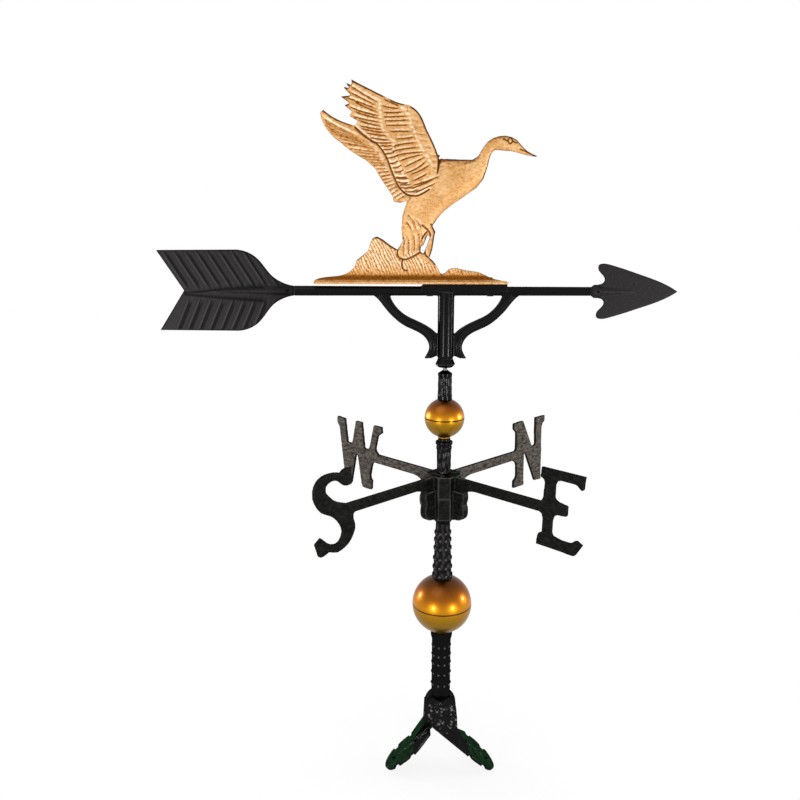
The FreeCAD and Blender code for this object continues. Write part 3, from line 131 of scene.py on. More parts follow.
def hammered_black(name, face):
    """Black polyester powder coat over a sand-cast plate whose broad sides face this way.

    The casting's planished faces show through the satin film as slow waves some 9 mm across, which fade
    toward the hub, with a fine orange peel on top. The broad sides of the two plates' far halves carry a
    painted brown-grey sheen in place of the lamps' reflection in the satin film; the near halves stay
    black, and edges by the hub carry a painted grey highlight.
    """
    material, tree, out = finish(name)
    spot = wire(tree, "ShaderNodeTexCoord")
    painted_highlight = wire(tree, "ShaderNodeAttribute", attribute_name="painted_highlight")
    place = spot.outputs["Object"]
    axes = wire(tree, "ShaderNodeSeparateXYZ", links={0: place})
    stretch = wire(tree, "ShaderNodeMapping", {"Rotation": (0, math.radians(18), 0), "Scale": (1, 1, 2.3)},
                   {"Vector": place})
    waves = wire(tree, "ShaderNodeTexNoise", {"Scale": cells(5.88), "Detail": 3, "Roughness": 0.6},
                 {"Vector": stretch.outputs[0]})
    peel = wire(tree, "ShaderNodeTexNoise", {"Scale": cells(PEEL), "Detail": 2}, {"Vector": place})
    far = wire(tree, "ShaderNodeMapRange", {"From Min": -12 * MM, "From Max": 12 * MM},
               {"Value": axes.outputs["Y"]})
    toward = wire(tree, "ShaderNodeVectorMath", {1: face}, {0: spot.outputs["Normal"]},
                  operation="DOT_PRODUCT")
    toward = wire(tree, "ShaderNodeMath", links={0: toward.outputs["Value"]}, operation="ABSOLUTE")
    broad = wire(tree, "ShaderNodeMapRange", {"From Min": 0.8, "From Max": 0.97},
                 {"Value": toward.outputs[0]})
    # Share of the painted sheen: the broad sides of the far halves
    share = wire(tree, "ShaderNodeMath", links={0: far.outputs[0], 1: broad.outputs[0]}, operation="MULTIPLY")
    film = stops(wire(tree, "ShaderNodeValToRGB", links={0: waves.outputs[0]}),
                 (0.36, "#030302"), (0.72, "#1b1c18"))
    # Painted brown-grey sheen, standing in for the lamps' reflection in the satin film
    painted_sheen = stops(wire(tree, "ShaderNodeValToRGB", links={0: waves.outputs[0]}),
                  (0.36, "#272320"), (0.66, "#5e5852"))
    colour = wire(tree, "ShaderNodeMix", links={0: share.outputs[0], 6: film.outputs[0], 7: painted_sheen.outputs[0]},
                  data_type="RGBA")
    # Painted grey highlight on the edges that the highlight attribute marks
    highlit = wire(tree, "ShaderNodeMix", {7: linear("#55504d")},
                {0: painted_highlight.outputs["Fac"], 6: colour.outputs[2]}, data_type="RGBA")
    level = wire(tree, "ShaderNodeVectorMath", {1: (1, 1, 0)}, {0: place}, operation="MULTIPLY")
    from_mast = wire(tree, "ShaderNodeVectorMath", links={0: level.outputs[0]}, operation="LENGTH")
    force = wire(tree, "ShaderNodeMapRange",
                 {"From Min": 18 * MM, "From Max": 34 * MM, "To Min": 0.15, "To Max": 0.5},
                 {"Value": from_mast.outputs["Value"]})
    waved = wire(tree, "ShaderNodeBump", {"Distance": 1.2 * MM},
                 {"Strength": force.outputs[0], "Height": waves.outputs[0]})
    skin = wire(tree, "ShaderNodeBump", {"Strength": 0.3, "Distance": 0.5 * MM},
                {"Height": peel.outputs[0], "Normal": waved.outputs[0]})
    coat = lacquer(tree, highlit.outputs[2], skin.outputs[0], shine=0.006, roughness=0.35)
    tree.links.new(coat, out.inputs[0])
    return material


def feather_black():
    """Black powder coat on the arrow's head and tail: brown-grey satin, with painted near-black shade in the
    barb grooves.
    """
    material, tree, out = finish("satin black powder coat, feather")
    place = wire(tree, "ShaderNodeTexCoord").outputs["Object"]
    painted_shade = wire(tree, "ShaderNodeAttribute", attribute_name="painted_shade")
    painted_highlight = wire(tree, "ShaderNodeAttribute", attribute_name="painted_highlight")
    peel = wire(tree, "ShaderNodeTexNoise", {"Scale": cells(PEEL), "Detail": 2}, {"Vector": place})
    film = stops(wire(tree, "ShaderNodeValToRGB", links={0: peel.outputs[0]}),
                 (0.3, "#1c191a"), (0.75, "#2a2627"))
    # Painted grey highlight on the barbs' lips
    highlit = wire(tree, "ShaderNodeMix", {7: linear("#413b3d")}, {0: painted_highlight.outputs["Fac"], 6: film.outputs[0]},
                data_type="RGBA")
    # Painted shade: near black in the grooves, beside the quill and along the outline
    colour = wire(tree, "ShaderNodeMix", {7: linear("#050404")},
                  {0: painted_shade.outputs["Fac"], 6: highlit.outputs[2]}, data_type="RGBA")
    skin = wire(tree, "ShaderNodeBump", {"Strength": 0.25, "Distance": 0.4 * MM}, {"Height": peel.outputs[0]})
    coat = lacquer(tree, colour.outputs[2], skin.outputs[0], shine=0.008, roughness=0.4)
    tree.links.new(coat, out.inputs[0])
    return material


def turned_black():
    """Black powder coat over turned and cast tube: deep black with a satin gloss and a faint orange peel."""
    material, tree, out = finish("satin black powder coat")
    place = wire(tree, "ShaderNodeTexCoord").outputs["Object"]
    peel = wire(tree, "ShaderNodeTexNoise", {"Scale": cells(PEEL), "Detail": 2}, {"Vector": place})
    film = stops(wire(tree, "ShaderNodeValToRGB", links={0: peel.outputs[0]}),
                 (0.3, "#010201"), (0.75, "#060806"))
    skin = wire(tree, "ShaderNodeBump", {"Strength": 0.12, "Distance": 0.4 * MM}, {"Height": peel.outputs[0]})
    coat = lacquer(tree, film.outputs[0], skin.outputs[0], shine=0.006, roughness=0.2)
    tree.links.new(coat, out.inputs[0])
    return material


def beaten_black():
    """Black gloss powder coat over beaten tube: painted grey highlights on high facets, black between, with
    glints.

    Its orange peel is 3 mm wide, drawn coarse so that it shows.
    """
    material, tree, out = finish("gloss black powder coat, beaten")
    place = wire(tree, "ShaderNodeTexCoord").outputs["Object"]
    painted_highlight = wire(tree, "ShaderNodeAttribute", attribute_name="painted_highlight")
    peel = wire(tree, "ShaderNodeTexNoise", {"Scale": cells(3.333), "Detail": 2}, {"Vector": place})
    # Painted highlight: grey where the highlight attribute marks high facets, edges and stud tops
    colour = wire(tree, "ShaderNodeMix", {6: linear("#030303"), 7: linear("#4a4446")},
                  {0: painted_highlight.outputs["Fac"]}, data_type="RGBA")
    skin = wire(tree, "ShaderNodeBump", {"Strength": 0.12, "Distance": 0.4 * MM}, {"Height": peel.outputs[0]})
    coat = lacquer(tree, colour.outputs[2], skin.outputs[0], shine=0.009, roughness=0.2)
    tree.links.new(coat, out.inputs[0])
    return material


def gilded_casting():
    """Light satin gold lacquer over a sand casting, with painted brown shade in its hollows.

    The tone drifts between two golds some 30 mm apart over a sandy grain of 3 mm, drawn coarse so that it
    shows, with random pale flecks and darker mottle. The carving's lips carry a painted pale cream
    highlight, and painted brown shade darkens each groove, the outline and the foot of the grass.
    """
    material, tree, out = finish("light gold lacquered casting")
    place = wire(tree, "ShaderNodeTexCoord").outputs["Object"]
    painted_shade = wire(tree, "ShaderNodeAttribute", attribute_name="painted_shade")
    painted_highlight = wire(tree, "ShaderNodeAttribute", attribute_name="painted_highlight")
    lie = wire(tree, "ShaderNodeMapping", {"Rotation": (0, math.radians(50), 0), "Scale": (1, 1, 1.4)},
               {"Vector": place})
    grain = wire(tree, "ShaderNodeTexNoise", {"Scale": cells(3.333), "Detail": 3, "Roughness": 0.65},
                 {"Vector": lie.outputs[0]})
    patch = wire(tree, "ShaderNodeTexNoise", {"Scale": cells(29.4), "Detail": 2}, {"Vector": place})
    tone = stops(wire(tree, "ShaderNodeValToRGB", links={0: patch.outputs[0]}),
                 (0.35, "#c8945a"), (0.7, "#dfb27c"))
    fleck = wire(tree, "ShaderNodeMapRange", {"From Min": 0.56, "From Max": 0.75, "To Max": 0.55},
                 {"Value": grain.outputs[0]})
    # Random pale flecks plus the painted highlight on the carving's lips
    lip = wire(tree, "ShaderNodeMath", {1: 0.5}, {0: fleck.outputs[0], 2: painted_highlight.outputs["Fac"]},
               operation="MULTIPLY_ADD", use_clamp=True)
    highlit_tone = wire(tree, "ShaderNodeMix", {7: linear("#fff0d8")}, {0: lip.outputs[0], 6: tone.outputs[0]},
                  data_type="RGBA")
    seat = wire(tree, "ShaderNodeMapRange",
                {"From Min": 0.3, "From Max": 0.7, "To Min": 0.75, "To Max": 1.15},
                {"Value": grain.outputs[0]})
    mottle = wire(tree, "ShaderNodeMapRange", {"From Min": 0.54, "From Max": 0.32, "To Max": 0.36},
                  {"Value": grain.outputs[0]})
    # Painted shade in the hollows and along the outline, with random darker mottle
    shade_and_mottle = wire(tree, "ShaderNodeMath",
                links={0: painted_shade.outputs["Fac"], 1: seat.outputs[0], 2: mottle.outputs[0]},
                operation="MULTIPLY_ADD", use_clamp=True)
    shade_tone = stops(wire(tree, "ShaderNodeValToRGB", links={0: shade_and_mottle.outputs[0]}),
                  (0.0, "#c88a38"), (0.45, "#94580e"), (1.0, "#3d1e00"))
    share = wire(tree, "ShaderNodeMapRange", {"From Max": 0.6}, {"Value": shade_and_mottle.outputs[0]})
    colour = wire(tree, "ShaderNodeMix",
                  links={0: share.outputs[0], 6: highlit_tone.outputs[2], 7: shade_tone.outputs[0]}, data_type="RGBA")
    skin = wire(tree, "ShaderNodeBump", {"Strength": 0.6, "Distance": MM}, {"Height": grain.outputs[0]})
    coat = wire(tree, "ShaderNodeBsdfPrincipled",
                {"Metallic": 0.3, "Roughness": 0.42, "Specular IOR Level": 0.08},
                {"Base Color": colour.outputs[2], "Normal": skin.outputs[0]})
    tree.links.new(coat.outputs[0], out.inputs[0])
    return material


def amber_globe(name, centre, radius, seam):
    """Spun aluminium, anodised amber: a smooth coloured metal with soft round reflections.

    Its colour carries a painted reflection: darker and redder toward the top of the ball, brightest a little
    above its middle and greener toward its foot. A dark line some 1 mm wide marks where the two halves
    meet. Spinning leaves a faint grain, and the seal over the anodising adds a little white gloss.
    """
    material, tree, out = finish(name)
    place = wire(tree, "ShaderNodeTexCoord").outputs["Object"]
    axes = wire(tree, "ShaderNodeSeparateXYZ", links={0: place})
    height = wire(tree, "ShaderNodeMapRange", {"From Min": centre - radius, "From Max": centre + radius},
                  {"Value": axes.outputs["Z"]})
    # Painted reflection by height: dark at the crown, brightest just above the middle, olive toward the foot
    painted_reflection = stops(wire(tree, "ShaderNodeValToRGB", links={0: height.outputs[0]}),
                (0.0, "#9c6414"), (0.1, "#846004"), (0.34, "#8f6a02"), (0.48, "#a87404"), (0.58, "#c07c06"),
                (0.74, "#8f5000"), (0.88, "#683600"), (1.0, "#3c1e00"))
    from_seam = wire(tree, "ShaderNodeMath", {1: seam}, {0: axes.outputs["Z"]}, operation="SUBTRACT")
    from_seam = wire(tree, "ShaderNodeMath", links={0: from_seam.outputs[0]}, operation="ABSOLUTE")
    joint = wire(tree, "ShaderNodeMapRange", {"From Min": MM, "From Max": 0.5 * MM},
                 {"Value": from_seam.outputs[0]})
    reflection_and_seam = wire(tree, "ShaderNodeMix", {7: linear("#3a2304")}, {0: joint.outputs[0], 6: painted_reflection.outputs[0]},
                data_type="RGBA")
    spin = wire(tree, "ShaderNodeTexNoise", {"Scale": cells(1.111), "Detail": 1}, {"Vector": place})
    skin = wire(tree, "ShaderNodeBump", {"Strength": 0.03, "Distance": 0.1 * MM}, {"Height": spin.outputs[0]})
    metal = wire(tree, "ShaderNodeBsdfPrincipled", {"Metallic": 1.0, "Roughness": 0.36},
                 {"Base Color": reflection_and_seam.outputs[2], "Normal": skin.outputs[0]})
    gloss = wire(tree, "ShaderNodeBsdfGlossy", {"Color": linear("#ffffff"), "Roughness": 0.16})
    seal = 0.009
    sealed = wire(tree, "ShaderNodeMixShader", {0: seal}, {1: metal.outputs[0], 2: gloss.outputs[0]})
    tree.links.new(sealed.outputs[0], out.inputs[0])
    return material


def green_leaf():
    """Dark green powder coat on the leaves' upper faces, glossy black coat on the rest of the foot.

    The knuckle's nuggets carry painted grey glints, and a slow unevenness of 6 mm breaks up the shine.
    """
    material, tree, out = finish("dark green powder coat")
    place = wire(tree, "ShaderNodeTexCoord").outputs["Object"]
    rim = wire(tree, "ShaderNodeAttribute", attribute_name="rim")
    painted_highlight = wire(tree, "ShaderNodeAttribute", attribute_name="painted_highlight")
    grain = wire(tree, "ShaderNodeTexNoise", {"Scale": cells(6.25), "Detail": 3}, {"Vector": place})
    tone = stops(wire(tree, "ShaderNodeValToRGB", links={0: grain.outputs[0]}),
                 (0.35, "#06190a"), (0.7, "#113017"))
    under = stops(wire(tree, "ShaderNodeValToRGB", links={0: grain.outputs[0]}),
                  (0.4, "#020202"), (0.75, "#0d0b0a"))
    # Painted highlight: grey glints on the nuggets' tops
    highlit_tone = wire(tree, "ShaderNodeMix", {7: linear("#6c6666")},
                  {0: painted_highlight.outputs["Fac"], 6: under.outputs[0]}, data_type="RGBA")
    skin = wire(tree, "ShaderNodeBump", {"Strength": 0.3, "Distance": 0.6 * MM}, {"Height": grain.outputs[0]})
    leaf = lacquer(tree, tone.outputs[0], skin.outputs[0], shine=0.004, roughness=0.4)
    black = lacquer(tree, highlit_tone.outputs[2], skin.outputs[0], shine=0.009, roughness=0.2)
    mix = wire(tree, "ShaderNodeMixShader", links={0: rim.outputs["Fac"], 1: leaf, 2: black})
    tree.links.new(mix.outputs[0], out.inputs[0])
    return material


def bright_zinc():
    """Zinc-plated steel rod and bolt: a bright, slightly blue metal, its gloss broken by drawing marks.

    The marks are 1.4 mm wide, far coarser than life, so that they show.
    """
    material, tree, out = finish("zinc plated steel")
    place = wire(tree, "ShaderNodeTexCoord").outputs["Object"]
    drawn = wire(tree, "ShaderNodeTexNoise", {"Scale": cells(1.429), "Detail": 2}, {"Vector": place})
    rough = wire(tree, "ShaderNodeMapRange", {"To Min": 0.25, "To Max": 0.42}, {"Value": drawn.outputs[0]})
    metal = wire(tree, "ShaderNodeBsdfPrincipled", {"Base Color": linear("#55585b"), "Metallic": 1.0},
                 {"Roughness": rough.outputs[0]})
    tree.links.new(metal.outputs[0], out.inputs[0])
    return material


def sintered_bronze():
    """Oil-filled sintered bronze: a dull brown-gold metal with an open, grainy skin.

    The grain is 0.7 mm wide, a few times coarser than the real pores, so that it shows.
    """
    material, tree, out = finish("sintered bronze")
    place = wire(tree, "ShaderNodeTexCoord").outputs["Object"]
    pores = wire(tree, "ShaderNodeTexNoise", {"Scale": cells(0.714), "Detail": 2}, {"Vector": place})
    tone = stops(wire(tree, "ShaderNodeValToRGB", links={0: pores.outputs[0]}),
                 (0.35, "#6b4a24"), (0.65, "#a67c46"))
    metal = wire(tree, "ShaderNodeBsdfPrincipled", {"Metallic": 1.0, "Roughness": 0.5},
                 {"Base Color": tone.outputs[0]})
    tree.links.new(metal.outputs[0], out.inputs[0])
    return material


# Bringing pieces into the scene

def show(name, mesh, body, material, slot, *nodes):
    """Puts a finished mesh in the scene on its body, with its finish, in place of the CAD nodes named."""
    piece = bpy.data.objects.new(name, mesh)
    bpy.context.scene.collection.objects.link(piece)
    mesh.materials.clear()
    mesh.materials.append(material)
    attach(piece, body)
    if nodes:
        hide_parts(*nodes)


def grid_faces(rows, columns):
    """The quads of a grid of points laid out row after row, its last column joined to its first."""
    row, column = np.meshgrid(np.arange(rows - 1), np.arange(columns), indexing="ij")
    after = (column + 1) % columns
    return np.stack([row * columns + column, row * columns + after,
                     (row + 1) * columns + after, (row + 1) * columns + column], -1).reshape(-1, 4)


def mesh_of(name, points, faces, smooth=True):
    """A mesh from arrays of points in metres and of faces, all with the same number of corners."""
    mesh = bpy.data.meshes.new(name)
    mesh.vertices.add(len(points))
    mesh.vertices.foreach_set("co", np.asarray(points, np.float32).ravel())
    corners = faces.shape[1]
    mesh.loops.add(faces.size)
    mesh.loops.foreach_set("vertex_index", faces.astype(np.int32).ravel())
    mesh.polygons.add(len(faces))
    mesh.polygons.foreach_set("loop_start", np.arange(0, faces.size, corners, dtype=np.int32))
    mesh.update(calc_edges=True)
    mesh.validate()
    mesh.polygons.foreach_set("use_smooth", np.full(len(mesh.polygons), smooth))
    return mesh


def points_of(mesh):
    """A mesh's points in millimetres, one row each."""
    points = np.empty(len(mesh.vertices) * 3, np.float32)
    mesh.vertices.foreach_get("co", points)
    return points.reshape(-1, 3).astype(float) / MM


def weld(mesh):
    """Merges a mesh's doubled corners and turns its faces outward."""
    bench = bmesh.new()
    bench.from_mesh(mesh)
    bmesh.ops.remove_doubles(bench, verts=bench.verts, dist=WELD * MM)
    bmesh.ops.recalc_face_normals(bench, faces=bench.faces)
    bench.to_mesh(mesh)
    bench.free()


def give(mesh, title, values):
    """Stores one value for each of a mesh's points under this title, for its finish to read."""
    mesh.attributes.new(title, "FLOAT", "POINT").data.foreach_set("value", values.astype(np.float32))


def reworked(node, name, material, slot, cell, work):
    """A CAD node's shape as one even skin of small quads, which a carving function then moves.

    The copy's loose triangles are merged and remeshed in cells this many millimetres wide. The carving
    function takes the points in millimetres, their normals and the mesh's edges, and gives back the new
    points and the attributes that the finish reads.
    """
    mesh = frame["nodes"][node].data.copy()
    weld(mesh)
    blank = bpy.data.objects.new(name + "_blank", mesh)
    bpy.context.scene.collection.objects.link(blank)
    even = blank.modifiers.new("even skin", "REMESH")
    even.mode = "VOXEL"
    even.voxel_size = cell * MM
    remeshed = blank.evaluated_get(bpy.context.evaluated_depsgraph_get())
    skin = bpy.data.meshes.new_from_object(remeshed)
    skin.name = name
    bpy.data.objects.remove(blank)
    normals = np.empty(len(skin.vertices) * 3, np.float32)
    skin.vertices.foreach_get("normal", normals)
    edges = np.empty(len(skin.edges) * 2, np.int32)
    skin.edges.foreach_get("vertices", edges)
    points, attributes = work(points_of(skin), normals.reshape(-1, 3).astype(float), edges.reshape(-1, 2))
    skin.vertices.foreach_set("co", (points * MM).astype(np.float32).ravel())
    for title, values in attributes.items():
        give(skin, title, values)
    skin.update()
    skin.polygons.foreach_set("use_smooth", np.ones(len(skin.polygons), bool))
    show(name, skin, BODY_OF[node], material, slot, node)


def bell(gap, width):
    """A groove's or swelling's round section: exp(-(gap / width) squared), one where the gap is zero."""
    return np.exp(-(gap / width) ** 2)


def rising(values, none, full):
    """A straight ramp between two values: zero at none and beyond it, one at full and beyond it."""
    return np.clip((values - none) / (full - none), 0, 1)


def spread(values, edges, rounds, hold=0.0):
    """Values at the points evened out along the edges: each round takes the mean of the neighbours' values.

    Hold is the share of its own value that a point keeps in each round, one number or one for each point.
    """
    count = len(values)
    both = np.concatenate([edges, edges[:, ::-1]])
    near = np.maximum(np.bincount(both[:, 0], minlength=count), 1)
    for _ in range(rounds):
        mean = np.bincount(both[:, 0], weights=values[both[:, 1]], minlength=count) / near
        values = hold * values + (1 - hold) * mean
    return values


def rounded_highlit_edges(reach):
    """A carving function for castings: corners rounded, with a painted grey edge highlight within this reach
    of the axis.

    Each point moves six tenths of the way to its mean after two rounds of evening out. The painted edge
    highlight is how far it stood outside its mean after eight rounds: none at 0.12 mm, full at 0.62 mm.
    """
    def work(points, normals, edges):
        broad = np.stack([spread(line, edges, 8) for line in points.T], -1)
        proud = ((points - broad) * normals).sum(1)
        blunt = np.stack([spread(line, edges, 2) for line in points.T], -1)
        close = rising(np.hypot(points[:, 0], points[:, 1]), reach, reach - 8)
        return points + 0.6 * (blunt - points), {"painted_highlight": 0.7 * close * rising(proud, 0.12, 0.62)}
    return work


def nearest_on_strokes(x, z, strokes, reach):
    """The distance from each point to the nearest stroke within reach, the point's side of it and its fade.

    A stroke is a curve through its start, middle and end: the parabola p(t) = start (1 - t) squared +
    turn 2 t (1 - t) + end t squared, drawn as six straight steps. The side is the sign of the cross
    product of the step and the way from its start to the point. The fade is 0.15 at both tips of the
    stroke and rises to one within a sixth of its length.
    """
    steps = 6
    nearest = np.full(len(x), reach, float)
    side = np.ones(len(x))
    fade = np.zeros(len(x))
    share = np.linspace(0, 1, steps + 1)[:, None]
    for x0, z0, x1, z1, x2, z2 in strokes:
        start, middle, end = np.array([x0, z0]), np.array([x1, z1]), np.array([x2, z2])
        turn = 2 * middle - (start + end) / 2
        line = start * (1 - share) ** 2 + turn * 2 * share * (1 - share) + end * share ** 2
        low, high = line.min(0) - reach, line.max(0) + reach
        near = np.flatnonzero((x > low[0]) & (x < high[0]) & (z > low[1]) & (z < high[1]))
        if not len(near):
            continue
        spot = np.stack([x[near], z[near]], -1)
        for step, (first, last) in enumerate(zip(line[:-1], line[1:])):
            way = last - first
            off = spot - first
            along = np.clip(off @ way / (way @ way), 0, 1)
            gap = np.linalg.norm(off - along[:, None] * way, axis=1)
            closer = gap < nearest[near]
            nearest[near[closer]] = gap[closer]
            side[near[closer]] = np.sign(way[0] * off[closer, 1] - way[1] * off[closer, 0])
            place = (step + along[closer]) / steps
            fade[near[closer]] = np.clip(np.minimum(place, 1 - place) * 5 + 0.15, 0, 1)
    return nearest, side, fade


# Carving lines of the duck, drawn one by one: start, middle and end of each groove, in millimetres across
# # and up
NEAR_PRIMARIES = [
    (-103, 739, -90, 731, -73, 722), (-104, 733, -92, 727, -75, 719), (-107, 727, -95, 723, -74, 715.5),
    (-99, 724, -88, 718, -72, 712), (-105, 719, -90, 713, -71, 709), (-99, 714, -88, 710, -71, 706),
    (-101, 709, -88, 705.5, -70, 702.5), (-94, 705, -84, 701.5, -69, 699), (-95, 700, -82, 697, -68, 695.5),
    (-92, 697, -80, 694, -66, 692.5), (-86, 692, -76, 690.5, -62, 689), (-83, 688, -74, 686, -60, 685),
    (-78, 683, -70, 682, -58, 682.5), (-73, 679.5, -66, 679, -58, 679.5),
    (-70, 675.5, -64, 675.5, -58, 676.5), (-67, 671, -62, 671.5, -56, 673),
    (-65, 667, -60, 667.5, -54, 669.5), (-62, 661.5, -57, 662, -52, 664.5),
    (-60, 657, -54, 657.5, -49, 660), (-58, 653, -52, 653, -47, 655), (-57, 648, -50, 647, -43, 648),
    (-55, 643.5, -48, 641.5, -41, 642.5), (-51, 638, -45, 636.5, -36, 638.5),
    (-46, 634, -40, 632.5, -30, 635.5),
]
NEAR_COVERTS = [
    (-69, 726, -60, 722, -51, 718), (-70, 719.5, -61, 717, -51, 716), (-69, 712.5, -58, 712, -47, 713),
    (-69, 708, -58, 708, -42, 709), (-68, 704, -55, 704, -41, 705), (-66, 699.5, -54, 699.5, -40, 700),
    (-63, 693.5, -52, 693.5, -38, 693.5), (-55, 686.3, -46, 686.3, -36, 688),
    (-59, 678, -48, 680.8, -33, 682.3), (-60, 672.8, -50, 675.4, -29, 678), (-57, 667, -47, 671, -22, 673),
    (-52, 663, -42, 667, -27, 670.5), (-47, 657, -37, 662, -24, 668), (-46, 651.5, -34, 656, -23, 664),
    (-40, 650, -29, 654.5, -19, 660.5), (-57, 646.5, -49, 646.5, -41, 646),
    (-37, 643.5, -30, 647, -22, 651), (-52, 640, -45, 639.6, -39, 640), (-39, 639, -25, 642.5, -7, 649.5),
    (-40, 635.5, -29, 639.5, -16, 645), (-35, 632, -27, 635, -12, 642),
]
SHOULDER_TUFTS = [
    (-45, 715, -42, 713, -39, 712), (-40, 706, -36, 704, -31, 703), (-38, 699, -33, 697.5, -28, 697.5),
    (-36, 691.5, -31, 690.5, -25, 690), (-32, 684.5, -27, 684, -21, 683.5),
    (-28, 678, -23, 677.5, -17, 677), (-22, 670, -17, 669, -11, 668.5), (-18, 663, -12, 663.5, -5, 664),
    (-17, 656, -10, 658, -2, 660), (-16, 651, -9, 654, 0, 657),
]
FAR_FEATHERS = [
    (-133, 709, -118, 699.5, -94, 689), (-132, 705, -116, 696.5, -90, 686),
    (-130, 701, -115, 693.5, -86, 683.5), (-126, 697, -112, 690.5, -84, 682),
    (-122, 692, -108, 688, -82, 680), (-116, 688, -104, 684.5, -80, 679),
    (-112, 683, -100, 681, -78, 677.5), (-107, 680.5, -96, 680, -75, 675.5),
    (-105, 677, -94, 675.5, -73, 673), (-99, 673.5, -88, 672.5, -70, 670), (-96, 670, -86, 669, -69, 667.5),
    (-87, 666.5, -78, 665.5, -68, 665), (-84, 663.5, -75, 662.5, -66, 662),
    (-80, 659.5, -73, 660, -64, 659.5), (-77, 656, -70, 656.5, -62, 656),
    (-75, 652.5, -68, 653, -61, 653.5), (-73, 648.5, -66, 649.5, -60, 650.5),
    (-71, 645, -65, 646, -58, 647.5), (-69, 641.5, -63, 643, -57, 645), (-66, 638, -60, 640, -55, 641.5),
    (-63, 634, -58, 636.5, -53, 638.5), (-60, 630, -55, 633.5, -51, 635.5),
    (-58, 626, -53, 629.5, -48, 632), (-54, 624, -49, 627, -44, 629),
]
TIER_EDGES = [
    (-72, 724, -71.5, 714, -71, 704), (-71, 704, -66, 692, -57, 684), (-57, 684, -57, 674, -53, 664),
    (-53, 664, -48, 652, -39, 640), (-49, 717, -42, 710, -40, 701), (-40, 701, -35, 690, -30, 680),
    (-30, 680, -24, 671, -17, 660), (-93, 699, -84, 686, -72, 672), (-72, 672, -64, 655, -57, 640),
    (-96, 737, -86, 731, -74, 726),
]

# Where the casting's own rows of coverts step up
ROW_STEPS = [
    (-65.5, 727, -63, 714, -65.5, 701), (-65.5, 701, -57, 684, -53.5, 672),
    (-53.5, 672, -47, 654, -37, 636), (-44, 719.5, -41, 708, -38, 697), (-38, 697, -33, 682, -28.5, 670),
    (-28.5, 670, -25, 657, -20, 646.5), (-103.5, 707.5, -91.5, 692.5, -75, 678),
    (-75, 678, -63, 663, -55, 649), (-55, 649, -48, 632, -44, 620),
]

# Outlines of the near wing's trailing edge and of the tail, the tail's own feathers, and the face
# The near wing's trailing edge takes the darkest painted shade, where it overlaps the far wing
WING_RIM = [
    (-98, 698, -87, 688.5, -76, 682), (-76, 682, -68, 672.5, -62, 660), (-62, 660, -58.5, 651, -54, 641),
    (-54, 641, -46, 631.5, -37, 628.5), (-37, 628.5, -30, 629.5, -20, 635),
]
TAIL_RIM = [
    (-47, 585, -51, 577, -53, 573), (-53, 573, -52.5, 565.5, -47, 562), (-47, 562, -40, 563.5, -28.5, 570),
    (-48, 561, -48, 553, -43, 550), (-27, 598, -19, 591, -19, 586), (-19, 586, -24, 575, -28, 570),
    (-27, 584, -24.5, 588, -22, 591), (-17.5, 599, -15, 595.5, -13.5, 592), (-24, 571, -23, 567, -21, 565),
]
TAIL_FEATHERS = [
    (-45, 585, -46.5, 575, -46, 566), (-41.5, 586, -41, 575, -42, 566), (-36.5, 589, -35, 579, -36, 569),
    (-31.5, 591, -29.5, 581, -31, 572), (-28, 589, -27, 585, -28, 579), (-45, 602, -41, 598, -38, 592),
    (-43, 610, -38, 604, -34, 598), (-39, 602, -35, 598, -33, 592), (-34, 604, -30, 599, -28, 594),
]
HEAD_LINES = [
    (57.5, 687, 60, 685.2, 62, 684.6), (62, 684.6, 64.5, 688, 67, 684.6),
    (62, 684.6, 64.5, 681.6, 67, 684.6), (67, 684.6, 69.5, 683.2, 72, 683), (75, 676.5, 82, 674, 91, 670),
]

# Each set of grooves with its width and depth in millimetres, and how dark the painted shade lies in it and
# # how bright the painted highlight on its lip is, from 0 to 1
CARVING = [
    (NEAR_PRIMARIES, 0.8, 0.75, 0.76, 1.0), (NEAR_COVERTS, 0.68, 0.65, 0.88, 0.55),
    (SHOULDER_TUFTS, 0.8, 0.25, 0.3, 0.35), (FAR_FEATHERS, 0.75, 0.7, 0.5, 1.0),
    (TAIL_FEATHERS, 0.85, 0.45, 0.5, 0.6), (WING_RIM, 0.85, 0.9, 1.0, 1.0),
    (TAIL_RIM, 0.85, 0.7, 0.95, 0.4), (HEAD_LINES, 0.75, 0.4, 0.95, 0.3),
]
# Grooves with darker painted shade than this are cut at full depth to their tips
FULL_SHADE = 0.9


def soft_noise(x, z, length, seed):
    """A smooth random field: the mean of plane waves of about this length, turned and shifted at random."""
    waves = 9
    draw = np.random.default_rng(seed)
    turn, shift = draw.uniform(0, math.tau, waves), draw.uniform(0, math.tau, waves)
    pace = draw.uniform(0.7, 1.5, waves) * math.tau / length
    return np.sin(np.outer(x, np.cos(turn) * pace) + np.outer(z, np.sin(turn) * pace) + shift).mean(1)


def eased_shoulder(x, y, z, edges):
    """The duck's thickness and height with the wing's root eased into the body.

    Within an ellipse round the root, thickness is evened out over 60 rounds. The back's line in front of
    the wing rises by 2.2 mm times a bell round x = -2, and the wing's own edge by 6 mm times a bell round
    x = -10, which is narrower on the tail's side and fades out above and below.
    """
    root = np.clip(1.6 - np.hypot((x + 14) / 22, (z - 660) / 20), 0, 1)
    y = spread(y, edges, 60, 1 - 0.9 * root)
    z = z + 2.2 * bell(x + 2, 8) * rising(z, 652, 664) * (z < 676)
    bow = bell(x + 10, np.where(x > -10, 6, 2.5))
    z = z + 6 * bow * np.minimum(rising(z, 640, 662.6), rising(z, 671.5, 662.6))
    return y, z


